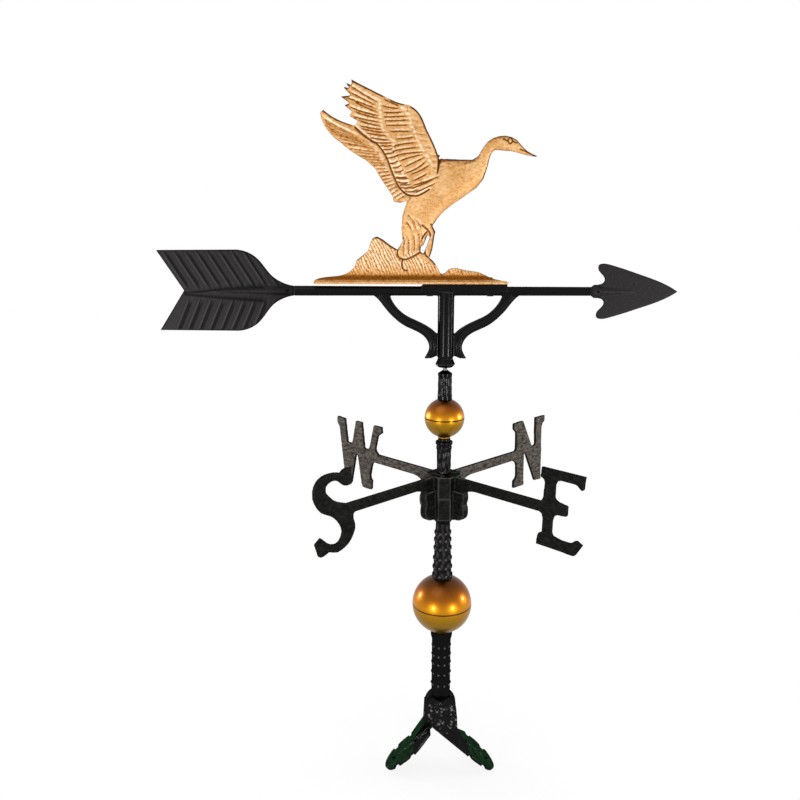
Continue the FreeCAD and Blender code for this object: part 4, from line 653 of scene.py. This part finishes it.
def feathers(x, z):
    """Height, painted shade and painted highlight of the duck's feathers, from their grooves and the
    scalloped edges of their rows.

    A groove's depth is a bell of the distance to its line, and a lip swells 1.9 mm to its upper side. A
    row's edge is a low ridge that comes and goes as a sine every 4.2 mm up the wing. The grooves carry
    painted shade, and the lips and the row edges painted highlights.
    """
    height, painted_shade, painted_highlight = np.zeros(len(x)), np.zeros(len(x)), np.zeros(len(x))
    for strokes, width, depth, shade_tone, lip_highlight in CARVING:
        gap, side, fade = nearest_on_strokes(x, z, strokes, reach=4.0)
        fade = np.where(shade_tone > FULL_SHADE, 1.0, fade)
        groove = bell(gap, width) * fade
        lip = bell(gap - 1.9, 0.75) * (side > 0) * fade
        height += -depth * groove + 0.35 * depth * lip
        painted_shade = np.maximum(painted_shade, shade_tone * groove)
        painted_highlight = np.maximum(painted_highlight, lip_highlight * lip)
    gap = nearest_on_strokes(x, z, TIER_EDGES, reach=4.0)[0]
    scallop = 0.55 + 0.45 * np.sin(z * math.tau / 4.2 + x * 0.3)
    height += 0.45 * bell(gap, 1.2) * scallop
    painted_highlight = np.maximum(painted_highlight, 0.95 * bell(gap, 1.1) * scallop)
    return height, painted_shade, painted_highlight


def grass(x, z):
    """Height, painted shade and painted highlight of the grass blades on the duck's mound, with painted shade
    along the mound's foot.

    The blades are a sine 3.4 mm long whose phase is the way across plus half the height, shaken by smooth
    noise. They leave out the legs and the tail in front of the mound, and rise from nothing above the foot.
    """
    mound = (z < 590) & ((x < -53) | (z < 572 - 0.75 * np.abs(x + 40)) | (z < 556) | (x > -8))
    mound &= ~((x > -52) & (x < -12) & (z > 571))
    phase = x + 0.5 * (z - 536) + 2.2 * soft_noise(x, z, 16, 3) + 0.6 * soft_noise(x, z, 5, 4)
    blade = np.sin(phase * math.tau / 3.4)
    growth = rising(z, 541, 547) * mound
    foot = 0.75 * bell(z - 542.5, 4.0) * (z < 556)
    foot = np.where(z > 539.5, foot, foot * 0.25)
    painted_shade = np.maximum(0.5 * np.clip(-blade, 0, 1) ** 1.5 * growth, foot)
    return 0.45 * blade * growth, painted_shade, np.clip(blade, 0, 1) ** 2 * rising(z, 548, 556) * mound


def shaded_outline(x, z, normals, edges):
    """How dark the painted shade lies on the duck's narrow sides and high up-facing faces, and as a thin line
    along its outline.

    The line is the narrow sides' share spread inward over seven rounds, heavier on the sides that face up
    and forward. It is left out along the steps between the rows of coverts.
    """
    broad = np.abs(normals[:, 1])
    narrow = rising(broad, 0.6, 0) * (0.4 + 0.5 * np.clip(normals[:, 2], 0, 1)) * (z > 541)
    upward = 0.75 * rising(normals[:, 2], 0.3, 0.9) * (z > 600)
    facing = np.clip(0.8 * normals[:, 0] + 0.8 * normals[:, 2] + 0.2, 0.2, 1)
    line = rising(spread(rising(broad, 0.62, 0) * facing, edges, 7), 0.03, 0.155)
    step = nearest_on_strokes(x, z, ROW_STEPS, reach=6.0)[0]
    line *= 1 - np.exp(-(step / 3.2) ** 4)
    return np.maximum.reduce([narrow, upward, 0.95 * line * (z > 556)])


def carved_duck(points, normals, edges):
    """The duck's carving: both faces move out or in by the sum of feathers, grass and a fine ripple.

    The move is scaled by the squared share of the normal that points out of the face, so the narrow sides
    keep the outline.
    """
    x, y, z = points.T
    y, z = eased_shoulder(x, y, z, edges)
    height, painted_shade, painted_highlight = feathers(x, z)
    grown, shaded, blade_highlight = grass(x, z)
    ripple = 0.16 * soft_noise(x + 0.6 * z, z - 0.6 * x, 4.5, 5) * (z > 558)
    moved = np.sign(normals[:, 1]) * normals[:, 1] ** 2 * (height + grown + ripple)
    # Painted shade from grooves, grass and outline, and painted highlights on lips and blade tips
    painted_shade = np.maximum.reduce([painted_shade, shaded, shaded_outline(x, z, normals, edges)])
    painted_highlight = np.maximum(painted_highlight, blade_highlight)
    return np.stack([x, y + moved, z], -1), {"painted_shade": np.clip(painted_shade, 0, 1), "painted_highlight": np.clip(painted_highlight, 0, 1)}


def nuggets(u, v, pitch, seed):
    """Beaten nuggets from 0 to 1: domes round the nearest of many points, one at random in each square cell.

    The height is one less the squared distance to that point over the squared nugget radius, both in
    cells, times the nugget's own share. The pattern comes round again after 64 cells.
    """
    radius, turns = 0.62, 64
    draw = np.random.default_rng(seed)
    shake = draw.uniform(0.1, 0.9, (turns, turns, 2))
    swell = draw.uniform(0.55, 1.0, (turns, turns))
    column, row = np.floor(u / pitch).astype(int), np.floor(v / pitch).astype(int)
    best = np.zeros(len(u))
    for across in (-1, 0, 1):
        for up in (-1, 0, 1):
            i, j = column + across, row + up
            spot = shake[i % turns, j % turns]
            gap = (u / pitch - i - spot[:, 0]) ** 2 + (v / pitch - j - spot[:, 1]) ** 2
            best = np.maximum(best, swell[i % turns, j % turns] * np.clip(1 - gap / radius ** 2, 0, 1))
    return best


# Barb grooves of the tail feather, above and below its quill, in millimetres along and up
UPPER_BARBS = [(x, 573, x + 13.5, 551, x + 26, 531)
               for x in (-306, -294, -282, -270, -258, -245, -232, -219, -206)]
LOWER_BARBS = [(x, 519, x - 8, 501, x - 16, 483)
               for x in (-278, -266, -254, -242, -230, -218, -206.5, -195, -184)]
QUILL_EDGES = [(-284, 525.5, -240, 530, -200, 532.5), (-284, 524.5, -240, 520.5, -200, 518)]


def tail_barbs(points, normals, edges):
    """The tail feather's barbs: flat-bottomed grooves 3 mm wide that run back from the quill on both faces.

    A groove's depth is a smooth step of its distance to the line, and a fine lip stands on its fore side.
    The quill is cut out by a groove along each side, with painted shade beside it that widens toward the
    socket.
    The grooves, the narrow sides and the socket end also carry painted shade, and the lips a painted
    highlight.
    """
    x, y, z = points.T
    gap, side, fade = nearest_on_strokes(x, z, UPPER_BARBS + LOWER_BARBS, reach=6.0)
    level = rising(gap, 2.1, 1.0)
    groove = level * level * (3 - 2 * level) * fade
    lip = bell(gap - 2.6, 0.6) * (side < 0) * fade
    quill = nearest_on_strokes(x, z, QUILL_EDGES, reach=6.0)[0]
    shade = bell(quill, 1.2 + 2.2 * rising(x, -284, -194))
    # Painted shade along the narrow sides and toward the socket end
    rim = np.clip(spread(1 - np.abs(normals[:, 1]), edges, 5) * 2.0, 0, 1) + 0.6 * rising(x, -196, -180)
    flat = np.abs(normals[:, 1]) > 0.7
    height = 0.25 * lip - 0.75 * groove - 0.5 * bell(quill, 0.9)
    moved = np.stack([x, y + np.sign(normals[:, 1]) * flat * height, z], -1)
    return moved, {"painted_shade": np.clip(groove + shade + rim, 0, 1), "painted_highlight": lip * flat}


# How far the knuckle's nuggets reach from the pivot, in millimetres
CHEEK_REACH = 24


def beaten_foot(points, normals, edges):
    """A foot's relief: nuggets 1.5 mm high on the knuckle's cheeks, and slow waves on the leaf.

    The rim attribute is zero on the leaf's upper face alone, apart from the near side of its stem, and one
    on the black rest of the foot.
    """
    x, y, z = points.T
    from_pin = np.hypot(x, z - PIN_HEIGHT)
    cheek = (from_pin < CHEEK_REACH) & (np.abs(normals[:, 1]) > 0.6)
    beat = nuggets(x + 100, z + 100, 4.6, 11)
    height = np.where(cheek, 1.5 * beat - 0.6, 0) * rising(from_pin, CHEEK_REACH, CHEEK_REACH - 4)
    upward = 0.6 * normals[:, 0] * np.sign(x.mean()) + 0.8 * normals[:, 2]
    leaf = rising(upward, 0.5, 0.62) * rising(from_pin, 31, 34)
    leaf *= 1 - rising(from_pin, 60, 57) * rising(y, 1.5, -0.5)
    wave = 0.35 * soft_noise(x, y, 14, 8) * leaf
    moved = np.stack([x, y + np.sign(normals[:, 1]) * height, z + wave], -1)
    # The nuggets' tops carry painted grey glints through the highlight attribute
    return moved, {"rim": 1 - leaf, "painted_highlight": cheek * rising(beat, 0.66, 0.92)}


def hammered_tube(low, high):
    """A carving function for tube beaten between two heights: long wavering facets with dents over them.

    The radius falls by 0.55 mm times one less the 0.7th power of the absolute cosine of four times the angle,
    its phase shaken along the height, and changes by 0.3 mm of smooth noise over the unrolled skin. The
    highest facets and dents carry a painted grey highlight.
    """
    def work(points, normals, edges):
        x, y, z = points.T
        radius, angle = np.hypot(x, y) + 1e-9, np.arctan2(y, x)
        outward = np.clip((normals[:, 0] * x + normals[:, 1] * y) / radius, 0, 1) ** 2
        window = rising(z, low, low + 2) * rising(z, high, high - 2) * (radius > 5)
        wander = soft_noise(z * 0, z, 22, 6) * 1.4
        facet = np.abs(np.cos(angle * 4 + wander)) ** 0.7
        dent = soft_noise(angle * 9, z, 9, 7)
        reach = outward * window * (0.55 * (facet - 1) + 0.3 * dent)
        painted_highlight = outward * window * np.clip(facet * 1.6 + 0.8 * dent - 1.25, 0, 1)
        return points + np.stack([x / radius, y / radius, z * 0], -1) * reach[:, None], {"painted_highlight": painted_highlight}
    return work


# Rings of a spire's mesh within this radius, in millimetres, belong to its bore
LEAST_TUBE_RADIUS = 7.0


def skin_radius(node, heights):
    """The outer radius of a turned node at these heights, read off the rings of its mesh."""
    points = points_of(frame["nodes"][node].data)
    levels, ring = np.unique(np.round(points[:, 2], 1), return_inverse=True)
    radii = np.zeros(len(levels))
    np.maximum.at(radii, ring.ravel(), np.hypot(points[:, 0], points[:, 1]))
    outside = radii > LEAST_TUBE_RADIUS
    return np.interp(heights, levels[outside], radii[outside])


# Steps round a globe, and in millimetres its wall, the radius of its rod hole and the gap at its seam
ROUND_STEPS = 96
GLOBE_WALL = 0.9
ROD_HOLE = 4.1
SEAM_GAP = 0.2


def spun_half(name, node, material, centre, radius, seam, seat):
    """Half a globe as a turned shell, its section run round the axis.

    The section is the circle's arc: its radius is the root of the globe's radius squared less the square
    of the height over its centre. The lower half rests on its seat, so its radius there is held up by the
    twelfth root of the sum of its own and the seat's twelfth powers. The arc sinks by 0.2 mm at the seam,
    and the inside keeps the wall's thickness within it.
    """
    upper = "upper" in node
    low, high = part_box(node)[0].z / MM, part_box(node)[1].z / MM
    low, high = (seam + SEAM_GAP / 2, high) if upper else (low, seam - SEAM_GAP / 2)
    turn = np.linspace(-math.pi / 2, math.pi / 2, ROUND_STEPS + 1)
    by_seam = seam + np.array([-1.2, -0.8, -0.5, -0.3, 0.3, 0.5, 0.8, 1.2])
    by_seat = low + np.array([0.0, 0.6, 1.2, 1.8])
    heights = np.concatenate([centre + radius * np.sin(turn), by_seam, by_seat])
    heights = np.unique(np.clip(heights, low, high).round(3))
    arc = np.sqrt(np.clip(radius ** 2 - (heights - centre) ** 2, 0, None))
    if not upper:
        arc = (arc ** 12 + seat ** 12) ** (1 / 12)
    arc = arc - 0.2 * bell(heights - seam, 0.3)
    floor, ceiling = (low, high - GLOBE_WALL) if upper else (low + GLOBE_WALL, high)
    outside = np.stack([arc, heights], -1)
    inside = np.stack([np.maximum(arc - GLOBE_WALL, ROD_HOLE), np.clip(heights, floor, ceiling)], -1)[::-1]
    section = [outside, [[ROD_HOLE, high]], inside] if upper else [outside, inside, [[ROD_HOLE, low]]]
    across, up = np.concatenate(section).T
    angle = np.linspace(0, math.tau, ROUND_STEPS, endpoint=False)
    points = np.stack([np.outer(across, np.cos(angle)), np.outer(across, np.sin(angle)),
                       np.repeat(up[:, None], ROUND_STEPS, 1)], -1).reshape(-1, 3)
    faces = grid_faces(len(up) + 1, ROUND_STEPS) % len(points)
    show(name, mesh_of(name, points * MM, faces), BODY_OF[node], material, "amber_globe", node)


# How deep a stud's foot is sunk into its tube, in millimetres
STUD_ROOT = 0.6


def studs(name, node, material, heights, columns, size, rise, diamond, sharpness):
    """Rows of small cast studs round a tube, each a dome on a round or a diamond foot.

    A stud's point is its row's height and column's angle plus share times size across and up, raised by
    rise times the root of one less the squared share; a diamond foot divides the share by the sum of the
    absolute sine and cosine. The painted highlight on the stud's top is how far a point stands proud of the
    tube, as a share of the rise and to the power of the sharpness.
    """
    share = np.array([1.15, 1.0, 0.8, 0.5, 0.0])
    round_it = np.linspace(0, math.tau, 12, endpoint=False)
    foot = 1 / (np.abs(np.cos(round_it)) + np.abs(np.sin(round_it))) if diamond else np.ones(len(round_it))
    across = size * share[:, None] * foot * np.cos(round_it)
    up = size * share[:, None] * foot * np.sin(round_it)
    lift = np.broadcast_to(rise * np.sqrt(np.clip(1 - share ** 2, 0, 1))[:, None], across.shape).copy()
    lift[0] = -STUD_ROOT
    dome = np.stack([across, up, lift], -1).reshape(-1, 3)
    angles = (np.arange(columns) + 0.5) * math.tau / columns - math.pi / 2
    row, column = np.meshgrid(np.arange(len(heights)), np.arange(columns), indexing="ij")
    radius = skin_radius(node, heights)[row.ravel()]
    turn = angles[column.ravel()][:, None] + dome[:, 0] / radius[:, None]
    reach = radius[:, None] + dome[:, 2]
    height = np.asarray(heights)[row.ravel()][:, None] + dome[:, 1]
    points = np.stack([reach * np.cos(turn), reach * np.sin(turn), height], -1).reshape(-1, 3)
    first = np.arange(len(radius))[:, None, None] * len(dome)
    mesh = mesh_of(name, points * MM, (first + grid_faces(len(share), len(round_it))).reshape(-1, 4))
    weld(mesh)
    mesh.polygons.foreach_set("use_smooth", np.ones(len(mesh.polygons), bool))
    points = points_of(mesh)
    proud = np.hypot(points[:, 0], points[:, 1]) - skin_radius(node, points[:, 2])
    give(mesh, "painted_highlight", np.clip(proud / rise, 0, 1) ** sharpness)
    show(name, mesh, BODY_OF[node], material, "black_coat")


# In millimetres, each globe's centre height, radius, seam height and seat radius, and the pivot's height
LARGE_GLOBE = (160.5, 34.9, 161.0, 10.75)
SMALL_GLOBE = (386.0, 22.5, 386.4, 7.0)
PIN_HEIGHT = sum(corner.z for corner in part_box("pivot_bolt")) / 2 / MM
# How far from the axis edges get a painted grey highlight, in millimetres: round the hub alone, nowhere or
# everywhere
BY_HUB, NOWHERE, ALL_OVER = 36, 0, 400
# Share of X and of Y in the way the lettered plates face
SLANT = math.sqrt(0.5)

ns_black = hammered_black("hammered black powder coat, north and south", (SLANT, -SLANT, 0))
ew_black = hammered_black("hammered black powder coat, east and west", (SLANT, SLANT, 0))
feather = feather_black()
beaten = beaten_black()
tube_black = turned_black()
gold = gilded_casting()
green = green_leaf()
zinc = bright_zinc()
bronze = sintered_bronze()
large_amber = amber_globe("amber anodised aluminium, large", *(length * MM for length in LARGE_GLOBE[:3]))
small_amber = amber_globe("amber anodised aluminium, small", *(length * MM for length in SMALL_GLOBE[:3]))

# The finish of each CAD node, also of those that a piece below stands for
FINISHES = {
    tube_black: ["base_spire", "middle_spire", "upper_spire", "top_spire", "spindle_cap", "arrow_center",
                 "arrow_pins", "ornament_screws"],
    ns_black: ["directional_ns"],
    ew_black: ["directional_ew"],
    feather: ["arrow_tail", "arrow_head"],
    gold: ["duck_ornament"],
    green: ["left_foot", "right_foot"],
    zinc: ["mast_rod", "pivot_bolt", "thrust_ball"],
    bronze: ["sleeve_bush"],
    large_amber: ["large_globe_lower", "large_globe_upper"],
    small_amber: ["small_globe_lower", "small_globe_upper"],
}
for material, nodes in FINISHES.items():
    for node in nodes:
        mesh = frame["nodes"][node].data
        mesh.materials.clear()
        mesh.materials.append(material)

# Each casting's node, name as a piece, finish, slot, cells of its skin in millimetres, and carving
CASTINGS = [
    ("directional_ns", "north_south_arms", ns_black, "black_coat", 0.8, rounded_highlit_edges(BY_HUB)),
    ("directional_ew", "east_west_arms", ew_black, "black_coat", 0.8, rounded_highlit_edges(BY_HUB)),
    ("arrow_head", "arrow_point", feather, "black_coat", 0.7, rounded_highlit_edges(NOWHERE)),
    ("arrow_center", "arrow_bracket", beaten, "black_coat", 0.6, rounded_highlit_edges(ALL_OVER)),
    ("arrow_tail", "tail_feather", feather, "black_coat", 0.8, tail_barbs),
    ("duck_ornament", "carved_duck", gold, "gold_coat", 0.76, carved_duck),
    ("right_foot", "right_leaf_foot", green, "green_coat", 0.7, beaten_foot),
    ("left_foot", "left_leaf_foot", green, "green_coat", 0.7, beaten_foot),
    ("upper_spire", "hammered_upper_spire", beaten, "black_coat", 0.6, hammered_tube(322, 352)),
    ("top_spire", "hammered_top_spire", beaten, "black_coat", 0.6, hammered_tube(412, 433)),
    ("middle_spire", "hammered_middle_spire", beaten, "black_coat", 0.6, hammered_tube(195, 262)),
]
for casting in CASTINGS:
    reworked(*casting)
for size, material, globe in (("large", large_amber, LARGE_GLOBE), ("small", small_amber, SMALL_GLOBE)):
    spun_half(size + "_globe_foot", size + "_globe_lower", material, *globe)
    spun_half(size + "_globe_crown", size + "_globe_upper", material, *globe)
studs("middle_spire_studs", "middle_spire", beaten, [197.4, 207.5, 218.4, 230.8, 241, 249.8],
      columns=10, size=3.2, rise=1.3, diamond=True, sharpness=5)
studs("base_spire_studs", "base_spire", beaten, [57.5, 72, 85, 95.6, 107.3],
      columns=10, size=1.6, rise=0.45, diamond=False, sharpness=1.5)


# The floor, the light and the camera

def seen_directly(tree):
    """How far a ray is one that the camera, a mirror or a clear body sends, from 0 to 1."""
    path = wire(tree, "ShaderNodeLightPath").outputs
    seen = wire(tree, "ShaderNodeMath", links={0: path["Is Camera Ray"], 1: path["Is Glossy Ray"]},
                operation="MAXIMUM")
    return wire(tree, "ShaderNodeMath", links={0: seen.outputs[0], 1: path["Is Transmission Ray"]},
                operation="MAXIMUM").outputs[0]


# The floor's half width and its gap under the feet, in metres
FLOOR_REACH, FLOOR_GAP = 6.0, 0.0005
# Each lamp's way from the object's middle, its power in watts and its width in metres
LAMPS = {
    "left": ((-0.94, 0.35, 0.1), 7, 0.2),
    "front left": ((-0.53, -0.755, -0.07), 6, 0.2),
    "front right": ((0.60, -0.76, -0.07), 6, 0.2),
    "right": ((0.99, 0.06, 0.1), 7, 0.2),
    "above": ((-0.35, -0.35, 0.87), 3, 1.0),
}
# The point that the lamps are turned to and how far off they stand, in metres
LAMP_AIM, LAMP_REACH = (0, 0, 0.3), 1.3
# The photograph's camera: where it stands in millimetres, how it is tipped and rolled in degrees, and its
# lens and film width in millimetres
CAMERA_PLACE = (-50.2, -890.7, 595.8)
CAMERA_PITCH, CAMERA_ROLL = 12.014, 0.146
CAMERA_LENS, CAMERA_FILM = 36.5, 36


def studio_floor():
    """A pale square floor under the feet: paper that takes their shadow, plain white farther out.

    It turns from one to the other smoothly, so that it meets the white surround with no line.
    """
    foot = CAD_LOW.z - FLOOR_GAP
    corners = [(x, y, foot) for x, y in ((-FLOOR_REACH, -FLOOR_REACH), (FLOOR_REACH, -FLOOR_REACH),
                                         (FLOOR_REACH, FLOOR_REACH), (-FLOOR_REACH, FLOOR_REACH))]
    paper_mesh = mesh_of("studio_floor", corners, np.array([[0, 1, 2, 3]]), False)
    material, tree, out = finish("pale studio floor")
    place = wire(tree, "ShaderNodeTexCoord").outputs["Object"]
    away = wire(tree, "ShaderNodeVectorMath", {1: (0, 0, -foot)}, {0: place}, operation="ADD")
    away = wire(tree, "ShaderNodeVectorMath", links={0: away.outputs[0]}, operation="LENGTH")
    fade = wire(tree, "ShaderNodeMapRange",
                {"From Min": 50 * MM, "From Max": 220 * MM, "To Min": 0.86, "To Max": 1.0},
                {"Value": away.outputs["Value"]}, interpolation_type="SMOOTHSTEP")
    share = wire(tree, "ShaderNodeMath", links={0: fade.outputs[0], 1: seen_directly(tree)},
                 operation="MULTIPLY")
    paper = wire(tree, "ShaderNodeBsdfDiffuse", {"Color": linear("#f4f4f4")})
    white = wire(tree, "ShaderNodeEmission", {"Color": linear("#ffffff"), "Strength": 1.0})
    mix = wire(tree, "ShaderNodeMixShader",
               links={0: share.outputs[0], 1: paper.outputs[0], 2: white.outputs[0]})
    tree.links.new(mix.outputs[0], out.inputs[0])
    floor = bpy.data.objects.new("studio_floor", paper_mesh)
    bpy.context.scene.collection.objects.link(floor)
    paper_mesh.materials.append(material)


def white_surround():
    """A world that lights the object softly and looks plain white, by itself and in the object's gloss."""
    world = bpy.data.worlds.new("soft studio")
    bpy.context.scene.world = world
    world.use_nodes = True
    tree = world.node_tree
    tree.nodes.clear()
    out = tree.nodes.new("ShaderNodeOutputWorld")
    soft = wire(tree, "ShaderNodeBackground", {"Color": linear("#ffffff"), "Strength": 0.58})
    white = wire(tree, "ShaderNodeBackground", {"Color": linear("#ffffff"), "Strength": 1.0})
    mix = wire(tree, "ShaderNodeMixShader",
               links={0: seen_directly(tree), 1: soft.outputs[0], 2: white.outputs[0]})
    tree.links.new(mix.outputs[0], out.inputs[0])


def ring_of_lamps():
    """Small round lamps that ring the object, each turned toward its middle."""
    aim = Vector(LAMP_AIM)
    for name, (way, power, across) in LAMPS.items():
        light = bpy.data.lights.new(name, "AREA")
        light.shape = "DISK"
        light.size = across
        light.energy = power
        lamp = bpy.data.objects.new(name, light)
        bpy.context.scene.collection.objects.link(lamp)
        lamp.location = aim + Vector(way).normalized() * LAMP_REACH
        lamp.rotation_mode = "QUATERNION"
        lamp.rotation_quaternion = (aim - lamp.location).to_track_quat("-Z", "Y")
        lamp.visible_camera = False


def photo_camera():
    """The photograph's camera, in front of the object and a little above its middle, tipped down."""
    pitch, roll = math.radians(CAMERA_PITCH), math.radians(CAMERA_ROLL)
    ahead = Vector((0, math.cos(pitch), -math.sin(pitch)))
    side, up = Vector((1, 0, 0)), Vector((0, math.sin(pitch), math.cos(pitch)))
    right = side * math.cos(roll) + up * math.sin(roll)
    top = up * math.cos(roll) - side * math.sin(roll)
    camera = bpy.data.objects.new("photo_camera", bpy.data.cameras.new("photo_camera"))
    bpy.context.scene.collection.objects.link(camera)
    camera.data.sensor_width = CAMERA_FILM
    camera.data.lens = CAMERA_LENS
    camera.data.clip_start, camera.data.clip_end = 0.01, 100
    turn = Matrix((right, top, -ahead)).transposed()
    camera.matrix_world = Matrix.Translation(Vector(CAMERA_PLACE) * MM) @ turn.to_4x4()
    bpy.context.scene.camera = camera


studio_floor()
white_surround()
ring_of_lamps()
photo_camera()
bpy.context.scene.view_settings.view_transform = "Standard"
